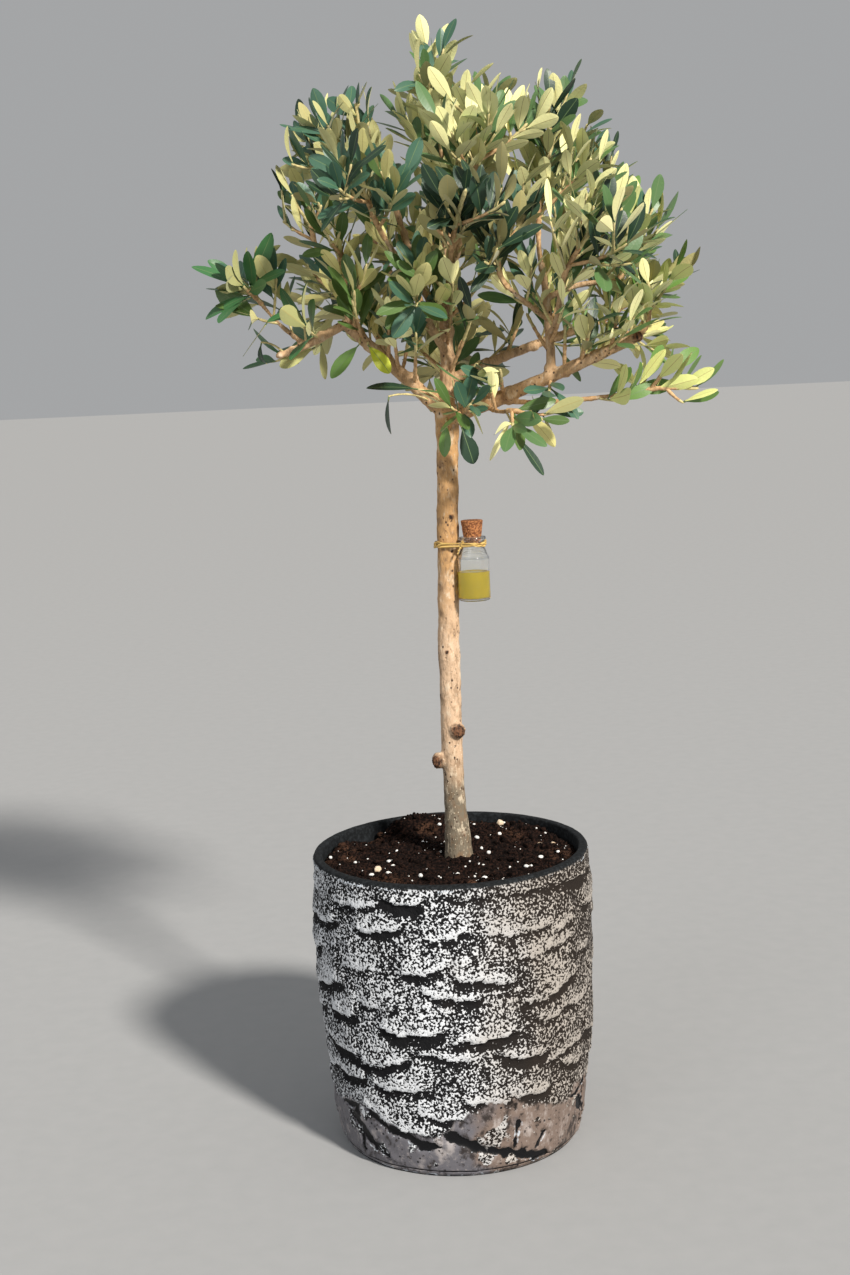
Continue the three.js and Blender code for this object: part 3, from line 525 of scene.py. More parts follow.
def reshape(piece: Piece, rule: Callable[[Vector], Vector]) -> None:
    """Moves every vertex of a piece to where a rule says."""
    for vertex in piece.data.vertices:
        vertex.co = rule(vertex.co)
    piece.data.update()


def mark(piece: Piece, name: str, values: Sequence[float]) -> None:
    """Writes one number for each vertex, for the piece's material to read."""
    layer = piece.data.attributes.new(name, "FLOAT", "POINT")
    layer.data.foreach_set("value", np.asarray(values, np.float32))


def arc(centre: Span, radius: float, start: float, end: float, steps: int) -> list[Span]:
    """Gives the points of a round stretch of a profile, with its angles in degrees."""
    angles = [math.radians(lerp(start, end, i / steps)) for i in range(steps + 1)]
    return [(centre[0] + radius * math.cos(a), centre[1] + radius * math.sin(a)) for a in angles]


def bands(rows: int, rings: int, sides: int) -> list[Face]:
    """Gives the faces between rows of rings of corners, where the ring after the last is the first."""
    faces = []
    for row in range(rows):
        here, after = row * sides, (row + 1) % rings * sides
        for k in range(sides):
            beside = (k + 1) % sides
            faces.append((here + k, here + beside, after + beside, after + k))
    return faces


class MeshArrays:
    """Many small things joined into one mesh: their corners, faces and face materials."""

    def __init__(self) -> None:
        """Starts with nothing in it."""
        self.places: list[np.ndarray] = []
        self.faces: list[Face] = []
        self.numbers: list[int] = []
        self.count = 0

    def add(self, places: np.ndarray, faces: Sequence[Face], numbers: Sequence[int]) -> None:
        """Adds one thing.

        Args:
            places: Its corners, one row each.
            faces: Its faces, as numbers of those rows.
            numbers: The material number of each face.
        """
        self.faces.extend(tuple(corner + self.count for corner in face) for face in faces)
        self.places.append(places)
        self.numbers.extend(numbers)
        self.count += len(places)

    def piece(self, name: str) -> Piece:
        """Makes the mesh object of all that was added."""
        mesh = bpy.data.meshes.new(name)
        mesh.from_pydata(np.concatenate(self.places).tolist(), [], self.faces)
        mesh.polygons.foreach_set("material_index", np.asarray(self.numbers, np.int32))
        mesh.validate()
        piece = bpy.data.objects.new(name, mesh)
        bpy.context.scene.collection.objects.link(piece)
        return piece


class Recipe:
    """A node material in the making. Most methods add nodes and give the last one's output."""

    def __init__(self, name: str, roughness: float = 0.5, specular: float = 0.5) -> None:
        """Starts a material.

        Args:
            name: The material's name.
            roughness: The roughness where nothing drives it.
            specular: How strongly the plain surface shines.
        """
        self.material = bpy.data.materials.new(name)
        self.material.use_nodes = True
        self.tree = self.material.node_tree
        self.shader = self.tree.nodes["Principled BSDF"]
        self.set("Roughness", roughness)
        self.set("Specular IOR Level", specular)

    def set(self, socket: str, value: float | tuple[float, ...] | Socket) -> None:
        """Sets one of the shader's sockets to a plain value, or links an output to it."""
        if isinstance(value, Socket):
            self.tree.links.new(value, self.shader.inputs[socket])
            return
        if isinstance(value, tuple):
            value = (*value, 1.0)
        self.shader.inputs[socket].default_value = value

    def node(self, kind: str, inputs: dict[str | int, object], **settings: object) -> bpy.types.Node:
        """Adds a node, with its properties set and its inputs set or linked."""
        made = self.tree.nodes.new(kind)
        for name, value in settings.items():
            setattr(made, name, value)
        for name, value in inputs.items():
            if isinstance(value, Socket):
                self.tree.links.new(value, made.inputs[name])
            else:
                made.inputs[name].default_value = value
        return made

    def space(self, stretch: Place = (1, 1, 1)) -> Socket:
        """Gives the piece's own coordinates, stretched along the axes."""
        coordinates = self.node("ShaderNodeTexCoord", {})
        inputs = {"Vector": coordinates.outputs["Object"], "Scale": stretch}
        return self.node("ShaderNodeMapping", inputs).outputs[0]

    def grain(
        self, size: float, detail: float = 2.0, stretch: Place = (1, 1, 1), rough: float = 0.5
    ) -> Socket:
        """Gives cloudy noise of 0 to 1, with lumps of the given size."""
        inputs = {"Vector": self.space(stretch), "Scale": 1 / size, "Detail": detail, "Roughness": rough}
        return self.node("ShaderNodeTexNoise", inputs).outputs["Fac"]

    def cells(self, size: float, stretch: Place = (1, 1, 1)) -> Socket:
        """Gives the distance to the nearest of scattered points."""
        inputs = {"Vector": self.space(stretch), "Scale": 1 / size}
        return self.node("ShaderNodeTexVoronoi", inputs).outputs["Distance"]

    def mark(self, name: str) -> Socket:
        """Gives the number that the mesh carries under this name."""
        return self.node("ShaderNodeAttribute", {}, attribute_name=name).outputs["Fac"]

    def height(self) -> Socket:
        """Gives the height above the pot's foot."""
        return self.node("ShaderNodeSeparateXYZ", {0: self.space()}).outputs["Z"]

    def step(self, value: Socket, low: float, high: float) -> Socket:
        """Gives a smooth step from 0 at low to 1 at high. It falls where low is over high."""
        ends = {"To Min": 0.0, "To Max": 1.0}
        if low > high:
            low, high = high, low
            ends = {"To Min": 1.0, "To Max": 0.0}
        inputs = {"Value": value, "From Min": low, "From Max": high, **ends}
        return self.node("ShaderNodeMapRange", inputs, interpolation_type="SMOOTHSTEP").outputs[0]

    def plus(self, first: object, second: object, kind: str = "ADD") -> Socket:
        """Adds two values, or reckons with them in another of the ways that the node has."""
        return self.node("ShaderNodeMath", {0: first, 1: second}, operation=kind).outputs[0]

    def less(self, first: object, second: object) -> Socket:
        """Takes the second value from the first."""
        return self.plus(first, second, "SUBTRACT")

    def times(self, first: object, second: object) -> Socket:
        """Multiplies two values."""
        return self.plus(first, second, "MULTIPLY")

    def mix(self, share: object, first: object, second: object) -> Socket:
        """Gives a colour between two, each a colour or an output."""
        colours = [(*c, 1.0) if isinstance(c, tuple) else c for c in (first, second)]
        inputs = {0: share, 6: colours[0], 7: colours[1]}
        return self.node("ShaderNodeMix", inputs, data_type="RGBA").outputs[2]

    def lay(self, under: object, over: object, pattern: Socket, ends: Span, strength: float) -> Socket:
        """Lays a colour over another where a pattern steps from its first end to its second."""
        return self.mix(self.times(self.step(pattern, *ends), strength), under, over)

    def bump(self, height: Socket, depth: float) -> None:
        """Gives the surface a relief of the given depth."""
        made = self.node("ShaderNodeBump", {"Height": height, "Distance": depth, "Strength": 1.0})
        self.set("Normal", made.outputs[0])


@dataclass(frozen=True)
class StoneFinish:
    """Black cast stone under a white speckle, with smooth plates at the foot and a charcoal rim."""

    black: Colour = (0.005, 0.005, 0.006)
    brown: Colour = (0.018, 0.013, 0.01)
    white: Colour = (0.64, 0.66, 0.69)
    warm: Colour = (0.34, 0.3, 0.26)
    mauve: Colour = (0.13, 0.125, 0.14)
    pink: Colour = (0.175, 0.13, 0.108)
    charcoal: Colour = (0.006, 0.007, 0.008)
    ash: Colour = (0.019, 0.022, 0.025)
    # pale blue-white of the dust on the brim and of the chips at the foot, also used for the painted glint
    # under each crack
    edge: Colour = (0.55, 0.6, 0.66)
    pale_vein: Colour = (0.5, 0.45, 0.43)
    dark_vein: Colour = (0.025, 0.02, 0.018)
    pale_speck: Colour = (0.45, 0.4, 0.38)
    dark_speck: Colour = (0.03, 0.024, 0.022)
    speckle: float = 0.0021

    def material(self) -> Material:
        """Mixes the stone's material, which reads the marks of the wall's relief, painted shade and glint,
        foot and rim.
        """
        mix = Recipe("cast_stone", roughness=0.8, specular=0.18)
        sideways = mix.node("ShaderNodeSeparateXYZ", {0: mix.space()}).outputs["X"]
        patches = mix.grain(0.04, 4.0)
        right = mix.step(mix.plus(sideways, mix.times(patches, 0.11)), 0.03, 0.14)
        dots = mix.grain(self.speckle, 1.5, rough=0.6)
        near = mix.mark("relief")
        dust_and_shade = mix.plus(mix.times(near, 0.06), mix.times(mix.step(near, 0.72, 1.0), 0.12))
        dust_and_shade = mix.plus(dust_and_shade, mix.times(patches, 0.3))
        # painted shade: the white speckle thins in the recesses under the slab lips, where shade falls
        dust_and_shade = mix.less(dust_and_shade, mix.times(mix.mark("shade"), 0.15))
        dust_and_shade = mix.less(dust_and_shade, mix.times(right, 0.02))
        shown = mix.step(mix.plus(dots, dust_and_shade), 0.665, 0.735)
        ground = mix.mix(right, self.black, self.brown)
        dust = mix.mix(mix.times(right, 0.9), self.white, self.warm)
        wall = mix.mix(shown, ground, dust)
        bare = mix.times(mix.mark("foot"), mix.step(mix.grain(0.02, 3.0), 0.63, 0.58))
        colour = mix.mix(bare, wall, self.plates(mix, right, patches))
        charred = mix.mix(mix.step(mix.grain(0.003, 3.0), 0.4, 0.7), self.charcoal, self.ash)
        colour = mix.mix(mix.mark("rim"), colour, charred)
        brim = mix.times(mix.mark("brim"), 0.42)
        powder = mix.step(mix.plus(mix.grain(0.0016, 2.0), brim), 0.84, 0.98)
        mix.set("Base Color", mix.mix(powder, colour, self.edge))
        gloss = mix.times(mix.mark("foot"), -0.34)
        mix.set("Roughness", mix.plus(gloss, mix.plus(mix.times(dots, 0.1), 0.76)))
        rough = mix.less(1.0, mix.plus(mix.mark("foot"), mix.mark("rim"), "MAXIMUM"))
        smooth_grain = mix.times(mix.grain(0.012, 5.0, stretch=(1, 1, 1.6)), 0.5)
        mix.bump(mix.plus(mix.times(dots, rough), smooth_grain), 0.0011)
        return mix.material

    def plates(self, mix: Recipe, right: Socket, patches: Socket) -> Socket:
        """Gives the colour of the smooth plates at the foot, with a painted glint under each crack.

        Args:
            mix: The material in the making.
            right: How far towards the pot's warmer side a place is.
            patches: The wall's broad patches.

        Returns:
            The plates' colour.
        """
        veins = mix.grain(0.013, 5.0, stretch=(1, 1, 0.6), rough=0.6)
        warm = mix.step(mix.plus(mix.times(right, 0.75), mix.times(patches, 0.6)), 0.4, 0.75)
        plate = mix.mix(warm, self.mauve, self.pink)
        plate = mix.lay(plate, self.pale_vein, veins, (0.52, 0.7), 0.55)
        plate = mix.lay(plate, self.dark_vein, veins, (0.46, 0.34), 0.9)
        pits = mix.step(mix.cells(0.0065), 0.2, 0.12)
        some = mix.step(mix.grain(0.018), 0.48, 0.56)
        plate = mix.mix(mix.times(pits, some), plate, self.black)
        fine = mix.grain(0.0042, 4.0, rough=0.65)
        plate = mix.lay(plate, self.dark_speck, fine, (0.42, 0.34), 0.8)
        plate = mix.lay(plate, self.pale_speck, fine, (0.58, 0.68), 0.35)
        ragged = mix.less(mix.times(fine, 1.4), 0.7)
        # painted highlight: a pale glint along the lower plate's edge under each crack, together with the
        # real pale chips at the foot's very edge
        painted_glint_and_chips = mix.step(mix.plus(mix.mark("painted_glint_and_chips"), ragged), 0.4, 0.68)
        plate = mix.mix(mix.times(painted_glint_and_chips, 0.85), plate, self.edge)
        crack = mix.step(mix.plus(mix.mark("crack"), ragged), 0.42, 0.66)
        return mix.mix(crack, plate, self.black)


@dataclass(frozen=True)
class SoilFinish:
    """Dark moist peat, browner where it has dried."""

    wet: Colour = (0.003, 0.0015, 0.0012)
    damp: Colour = (0.028, 0.013, 0.009)
    dry: Colour = (0.07, 0.034, 0.02)

    def material(self) -> Material:
        """Mixes the peat's material."""
        mix = Recipe("peat", roughness=0.95, specular=0.1)
        crumbs = mix.grain(0.0022, 3.0)
        dried = mix.step(mix.grain(0.035, 2.0), 0.52, 0.68)
        colour = mix.mix(mix.step(crumbs, 0.42, 0.7), self.wet, self.damp)
        dried = mix.times(mix.times(dried, mix.mark("edge")), mix.step(crumbs, 0.4, 0.55))
        mix.set("Base Color", mix.mix(dried, colour, self.dry))
        mix.bump(crumbs, 0.0012)
        return mix.material


@dataclass(frozen=True)
class SpeckFinish:
    """A matt finish of two near colours, for grains, chips, cork, twigs and the like."""

    name: str
    first: Colour
    second: Colour
    size: float
    depth: float = 0.0003
    roughness: float = 0.9
    specular: float = 0.3
    rough: float = 0.6
    ends: Span = (0.38, 0.62)

    def material(self) -> Material:
        """Mixes the speckled material."""
        mix = Recipe(self.name, self.roughness, self.specular)
        specks = mix.grain(self.size, 3.0, rough=self.rough)
        mix.set("Base Color", mix.mix(mix.step(specks, *self.ends), self.first, self.second))
        mix.bump(specks, self.depth)
        return mix.material


@dataclass(frozen=True)
class BarkFinish:
    """Young olive bark: warm tan above, paler and pinker below, grey-green near the soil."""

    tan: Colour = (0.5, 0.285, 0.12)
    pink: Colour = (0.58, 0.4, 0.26)
    grey: Colour = (0.165, 0.135, 0.095)
    bough: Colour = (0.5, 0.325, 0.18)
    dark: Colour = (0.07, 0.04, 0.025)
    brown: Colour = (0.2, 0.12, 0.065)
    pale: Colour = (0.74, 0.62, 0.46)
    char: Colour = (0.016, 0.008, 0.005)
    rust: Colour = (0.19, 0.085, 0.04)

    def material(self) -> Material:
        """Mixes the bark's material, which reads the scars' mark."""
        mix = Recipe("olive_bark", roughness=0.78, specular=0.35)
        height = mix.plus(mix.height(), mix.times(mix.grain(0.016, 4.0), 0.07))
        colour = mix.mix(mix.step(height, 0.33, 0.385), self.grey, self.pink)
        colour = mix.mix(mix.step(height, 0.46, 0.56), colour, self.tan)
        colour = mix.mix(mix.step(height, 0.66, 0.72), colour, self.bough)
        blotches = mix.grain(0.007, 4.0, stretch=(1, 1, 0.55), rough=0.6)
        colour = mix.lay(colour, self.pale, blotches, (0.54, 0.7), 0.6)
        colour = mix.lay(colour, self.brown, blotches, (0.47, 0.33), 0.6)
        streaks = mix.grain(0.0022, 4.0, stretch=(1, 1, 0.3), rough=0.7)
        colour = mix.lay(colour, self.brown, streaks, (0.48, 0.36), 0.5)
        colour = mix.lay(colour, self.pale, streaks, (0.55, 0.7), 0.35)
        pores = mix.step(mix.cells(0.0042, stretch=(1, 1, 0.75)), 0.27, 0.15)
        some = mix.step(mix.grain(0.011, 3.0), 0.46, 0.56)
        colour = mix.mix(mix.times(pores, some), colour, self.dark)
        flecks = mix.step(mix.cells(0.0028), 0.22, 0.1)
        low = mix.step(height, 0.56, 0.36)
        colour = mix.mix(mix.times(flecks, mix.times(low, 0.8)), colour, self.pale)
        scarred = mix.mix(mix.step(streaks, 0.4, 0.6), self.char, self.rust)
        mix.set("Base Color", mix.mix(mix.mark("scar"), colour, scarred))
        relief = mix.plus(mix.times(streaks, 0.6), mix.times(blotches, 0.5))
        mix.bump(mix.less(relief, mix.times(pores, 0.15)), 0.0011)
        return mix.material


@dataclass(frozen=True)
class LeafFinish:
    """One side of a leaf, in one plain colour with a leathery grain."""

    name: str
    colour: Colour
    roughness: float
    grain: float = 0.00012
    sheen: float = 0.0

    def material(self) -> Material:
        """Mixes the leaf's material."""
        mix = Recipe(self.name, roughness=self.roughness, specular=0.5)
        mix.set("Base Color", self.colour)
        mix.set("Sheen Weight", self.sheen)
        veins = mix.grain(0.0016, 3.0)
        mix.bump(veins, self.grain)
        return mix.material


@dataclass(frozen=True)
class LiquidFinish:
    """Clear glass or oil."""

    name: str
    colour: Colour
    bend: float
    roughness: float = 0.0
    clear: float = 1.0

    def material(self) -> Material:
        """Mixes the clear material."""
        mix = Recipe(self.name, roughness=self.roughness)
        mix.set("Base Color", self.colour)
        mix.set("Transmission Weight", self.clear)
        mix.set("IOR", self.bend)
        ripples = mix.grain(0.012, 1.0)
        mix.bump(ripples, 0.00008)
        return mix.material


@dataclass(frozen=True)
class RaffiaFinish:
    """Dry straw-yellow raffia with fibres along each strand."""

    light: Colour = (0.72, 0.5, 0.17)
    dark: Colour = (0.38, 0.22, 0.06)

    def material(self) -> Material:
        """Mixes the raffia's material, which reads the strands' fibre mark."""
        mix = Recipe("raffia", roughness=0.75, specular=0.3)
        fibres = mix.plus(mix.mark("fibre"), mix.times(mix.grain(0.002, 3.0), 0.5))
        mix.set("Base Color", mix.mix(mix.step(fibres, 0.35, 0.95), self.dark, self.light))
        mix.bump(fibres, 0.0003)
        return mix.material


@dataclass(frozen=True)
class Slab:
    """One of the overlapping slabs on the pot's wall, hanging over the recess under its lip."""

    middle: float
    lip: float
    half_width: float
    sag: float
    depth: float
    tilt: float
    reach: float = 0.038
    recess: float = 0.013
    full_depth: float = 0.0018

    def over(self, across_way: float, height: float) -> Trio:
        """Gives what the slab does at a place on the unrolled wall.

        Args:
            across_way: How far round the wall the place is from the slab's middle.
            height: Its height.

        Returns:
            How far the slab stands out there, how near that is to its lip, and how deep in its shade.
        """
        share = abs(across_way) / self.half_width
        above = height - self.lip - self.sag * share * share - self.tilt * across_way
        if share >= 1 or not -self.recess <= above <= self.reach:
            return 0.0, 0.0, 0.0
        side = 1 - smoothstep(share, 0.62, 1.0)
        # below the lip: how deep the place lies in painted shade, which thins the stone's white speckle
        if above < 0.0:
            reach = 0.004 + 2.2 * self.depth
            dark = side * (1 - smoothstep(-above, reach * 0.5, reach))
            return 0.0, 0.0, dark * min(self.depth / self.full_depth, 1.3)
        taper = 1 - above / self.reach
        return self.depth * side * taper * smoothstep(above, -0.0002, 0.0012), taper * side, 0.0


@dataclass(frozen=True)
class StonePot:
    """The barrel-shaped pot, cast with rows of overlapping slabs over smooth cracked plates.

    The plates' edge is a row of angles and heights, and a crack is the angle and height of its start
    and of its end, with its sag. Both are given for one sector and come round again in each. The
    material reads MARKS, and UNWORKED holds what they are inside the pot and under it.
    """

    # Of the marks, shade paints shade under the slab lips, and the glint mark holds a painted glint under
    # each crack beside the real chips at the foot.
    MARKS = ("relief", "shade", "foot", "crack", "painted_glint_and_chips", "rim", "brim")
    UNWORKED = (0.0, 1.0, 0.0, 0.0, 0.0, 1.0, 0.0)

    steps: int = 540
    row: float = 0.0018
    girth: float = 0.12
    slab_rows: int = 8
    slabs_round: int = 13
    first_row: float = 0.047
    row_pitch: float = 0.0275
    row_reach: Span = (0.035, 0.065)
    slab_width: Span = (0.022, 0.044)
    slab_sag: Span = (0.002, 0.01)
    slab_depth: Span = (0.0006, 0.0036)
    slab_tilt: float = 0.22
    rim_band: float = 0.016
    lip: float = 0.0026
    sector: float = 120.0
    foot_top: float = 0.085
    foot_edge: tuple[Span, ...] = (
        (-62, 0.058), (-47, 0.057), (-30, 0.044), (-13, 0.035), (-4, 0.05),
        (8, 0.066), (20, 0.07), (32, 0.057), (45, 0.046), (58, 0.058),
    )
    cracks: tuple[tuple[float, ...], ...] = (
        (-60, 0.046, -35, 0.01, 0.002),
        (-48, 0.058, -10, 0.027, 0.005),
        (-11, 0.045, 42, 0.006, 0.003),
        (53, 0.05, 70, 0.056, 0.002),
        (67, 0.052, 69, 0.008, 0.0),
        (24, 0.05, 22, 0.022, 0.0),
        (7, 0.024, 3, 0.004, 0.0),
        (38, 0.033, 31, 0.012, 0.001),
    )

    def wall_outline(self) -> list[Span]:
        """Gives fine points of the outer wall, on the solid's own spline."""
        rows = round(POT_HEIGHT / self.row)
        outline = [Vector(point) for point in POT_OUTLINE]
        ends = [outline[0], *outline, outline[-1]]
        points = []
        for i in range(rows + 1):
            along = i / rows * (len(outline) - 1)
            span = min(int(along), len(outline) - 2)
            a, b, c, d = ends[span : span + 4]
            t = along - span
            point = 2 * b + (c - a) * t + (2 * a - 5 * b + 4 * c - d) * t**2
            point += (3 * b - a - 3 * c + d) * t**3
            points.append((point.x / 2, point.y / 2))
        return points

    def slabs(self) -> list[list[Slab]]:
        """Deals out the slabs, row by row, each row shifted against the last."""
        random = Stream(41)
        pitch = 2 * math.pi * self.girth / self.slabs_round
        spans = (self.slab_width, self.slab_sag, self.slab_depth)
        rows = []
        for row in range(self.slab_rows):
            level = self.first_row + row * self.row_pitch
            dealt = []
            for number in range(self.slabs_round):
                middle = (number + 0.5 * (row % 2) + random.between(-0.28, 0.28)) * pitch
                sizes = [lerp(*span, random()) for span in spans]
                tilt = random.between(-self.slab_tilt, self.slab_tilt)
                dealt.append(Slab(middle, level + random.between(-0.009, 0.009), *sizes, tilt))
            rows.append(dealt)
        return rows

    def wall_at(self, slabs: list[list[Slab]], angle: float, height: float, place: Vector) -> Trio:
        """Gives the wall's relief at a place, how near a lip it is, and how deep in a slab's shade."""
        around = 2 * math.pi * self.girth
        along = (angle + math.pi) * self.girth + 0.0045 * roughness_at(place, 0.017, 2)
        level = height + 0.003 * roughness_at(place + UP, 0.012, 3) + 0.0022 * roughness_at(place, 0.04)
        proud, near, shade = 0.0, 0.0, 0.0
        for row in slabs:
            if not row[0].lip - self.row_reach[0] < level < row[0].lip + self.row_reach[1]:
                continue
            for slab in row:
                offset = (along - slab.middle + around / 2) % around - around / 2
                stands, lip, dark = slab.over(offset, level)
                if stands > proud:
                    proud, near = stands, lip
                shade = max(shade, dark)
        fade = smoothstep(POT_HEIGHT - height, self.rim_band * 0.3, self.rim_band)
        return (proud - 0.0013 - 0.001 * shade) * fade, near * fade, shade * fade

    def sector_angle(self, angle: float) -> float:
        """Gives the angle in degrees from the middle of the foot's nearest sector."""
        return (math.degrees(angle) + 90 + self.sector / 2) % self.sector - self.sector / 2

    def foot_at(self, angle: float, height: float, place: Vector) -> float:
        """Gives 1 on the smooth plates round the foot and 0 on the speckled wall."""
        turn = self.sector_angle(angle)
        heights = [level for _, level in self.foot_edge]
        edge = float(np.interp(turn, [at for at, _ in self.foot_edge], heights))
        edge += 0.006 * roughness_at(place, 0.012, 3)
        return smoothstep(edge - height, -0.001, 0.0015)

    def crack_at(self, angle: float, height: float, place: Vector) -> Trio:
        """Gives how deep in a crack between plates a place is, and how near below and above one."""
        turn = self.sector_angle(angle)
        warp = 0.0016 * roughness_at(place, 0.008, 3) + 0.003 * roughness_at(place, 0.024)
        deep, below, over = 0.0, 0.0, 0.0
        for start, high, end, low, sag in self.cracks:
            for shift in (-self.sector, 0.0, self.sector):
                a = np.array([math.radians(turn + shift - start) * self.girth * 0.92, height - high])
                b = np.array([math.radians(end - start) * self.girth * 0.92, low - high])
                share = clamped(float(a @ b) / float(b @ b))
                gap = a - b * share
                gap[1] += sag * math.sin(math.pi * share) + warp
                away = float(np.hypot(*gap))
                if away > 0.012:
                    continue
                ends = smoothstep(share, -0.01, 0.12) * smoothstep(1 - share, -0.01, 0.12)
                width = 0.0008 + 0.0034 * ends * min(float(np.hypot(*b)) / 0.045, 1.5)
                width *= 0.8 + 0.5 * roughness_at(place, 0.009)
                deep = max(deep, 1 - smoothstep(away, width * 0.5, width * 1.4))
                # just under a crack: how near it is, for the lower plate's painted glint
                if gap[1] < 0:
                    below = max(below, (1 - smoothstep(away, width, width + 0.0022)) * ends)
                else:
                    over = max(over, 1 - smoothstep(away, 0.0, 0.012))
        return deep, below * (1 - deep), over * (1 - deep)

    def worked(self, place: Vector, slabs: list[list[Slab]]) -> tuple[Vector, tuple[float, ...]]:
        """Works the relief in at a place of the outer wall.

        Args:
            place: A corner of the wall.
            slabs: The slabs, row by row.

        Returns:
            Where the corner goes, and its marks in the order of MARKS.
        """
        angle, height = math.atan2(place.y, place.x), place.z
        foot, crack, painted_glint_and_chips, over = 0.0, 0.0, 0.0, 0.0
        if height < self.foot_top:
            foot = self.foot_at(angle, height, place)
            crack, painted_glint_and_chips, over = self.crack_at(angle, height, place)
        proud, near, shade = self.wall_at(slabs, angle, height, place)
        top = POT_HEIGHT - self.lip
        band = smoothstep(height, top - 0.001, top + 0.0006)
        line = smoothstep(height, top - 0.005, top - 0.0015) * (1 - band)
        patchy = smoothstep(roughness_at(place, 0.02, 3) + 0.3 * math.sin(angle * 2 + 1), -0.5, 0.4)
        chip = smoothstep(0.004 - height, 0.0, 0.0015)
        chip *= smoothstep(roughness_at(place, 0.006, 2), 0.15, 0.4)
        seam = smoothstep(0.0012 - abs(height - 0.0058), 0.0, 0.0008)
        # the glint under a crack is painted light, and the chips at the very foot are real
        cracked, bright = max(crack, 0.8 * seam) * foot, max(painted_glint_and_chips * 0.8, chip) * foot
        lumps = 0.0004 * roughness_at(place, 0.0048, 2) + 0.0009 * roughness_at(place, 0.014, 2)
        move = (proud + lumps) * (1 - foot) * (1 - band) + 0.0003 * line
        plates = 0.0007 * roughness_at(place, 0.03) + 0.0012 * over - 0.0018 * crack - 0.0006 * seam
        move += foot * plates - 0.0006 * smoothstep(0.003 - height, 0.0, 0.002)
        move += 0.0004 * band * roughness_at(place, 0.012, 2)
        grown = 1 + move / math.hypot(place.x, place.y)
        moved = Vector((place.x * grown, place.y * grown, height))
        return moved, (near, shade, foot, cracked, bright, band, line * patchy)

    def build(self) -> None:
        """Turns the pot, works its relief in, and dresses it."""
        inner = [(radius - POT_WALL, height) for radius, height in POT_OUTLINE[2:-1]]
        mouth = POT_OUTLINE[-1][0] - POT_WALL
        outer = self.wall_outline()
        rim = arc((POT_OUTLINE[-1][0] - 0.002, POT_HEIGHT - 0.002), 0.002, 0, 90, 5)
        rim += arc((mouth + 0.0016, POT_HEIGHT - 0.0016), 0.0016, 90, 180, 4)
        inside = [(mouth, height) for height in (POT_HEIGHT - 0.006, SOIL_TOP - 0.004)]
        floor = [(POT_OUTLINE[1][0] - POT_WALL, POT_FLOOR), (0, POT_FLOOR)]
        underside = [(0, 0), (0.05, 0)]
        wall = [point for point in outer if point[1] < POT_HEIGHT - 0.0025]
        piece = spun("pot_shell", [*underside, *wall, *rim, *inside, *reversed(inner), *floor], self.steps)
        radii, heights = zip(*outer)
        slabs = self.slabs()
        rows = []

        def shifted(place: Vector) -> Vector:
            """Moves one corner where it is on the outer wall, and notes its marks."""
            moved, marks = place, self.UNWORKED
            wall_radius = np.interp(place.z, heights, radii)
            if math.hypot(place.x, place.y) >= wall_radius - 0.004 and place.z >= 0.0004:
                moved, marks = self.worked(place, slabs)
            rows.append(marks)
            return moved

        reshape(piece, shifted)
        for name, values in zip(self.MARKS, zip(*rows)):
            mark(piece, name, values)
        finish_piece(piece, 60.0, [StoneFinish().material()], ["pot"])


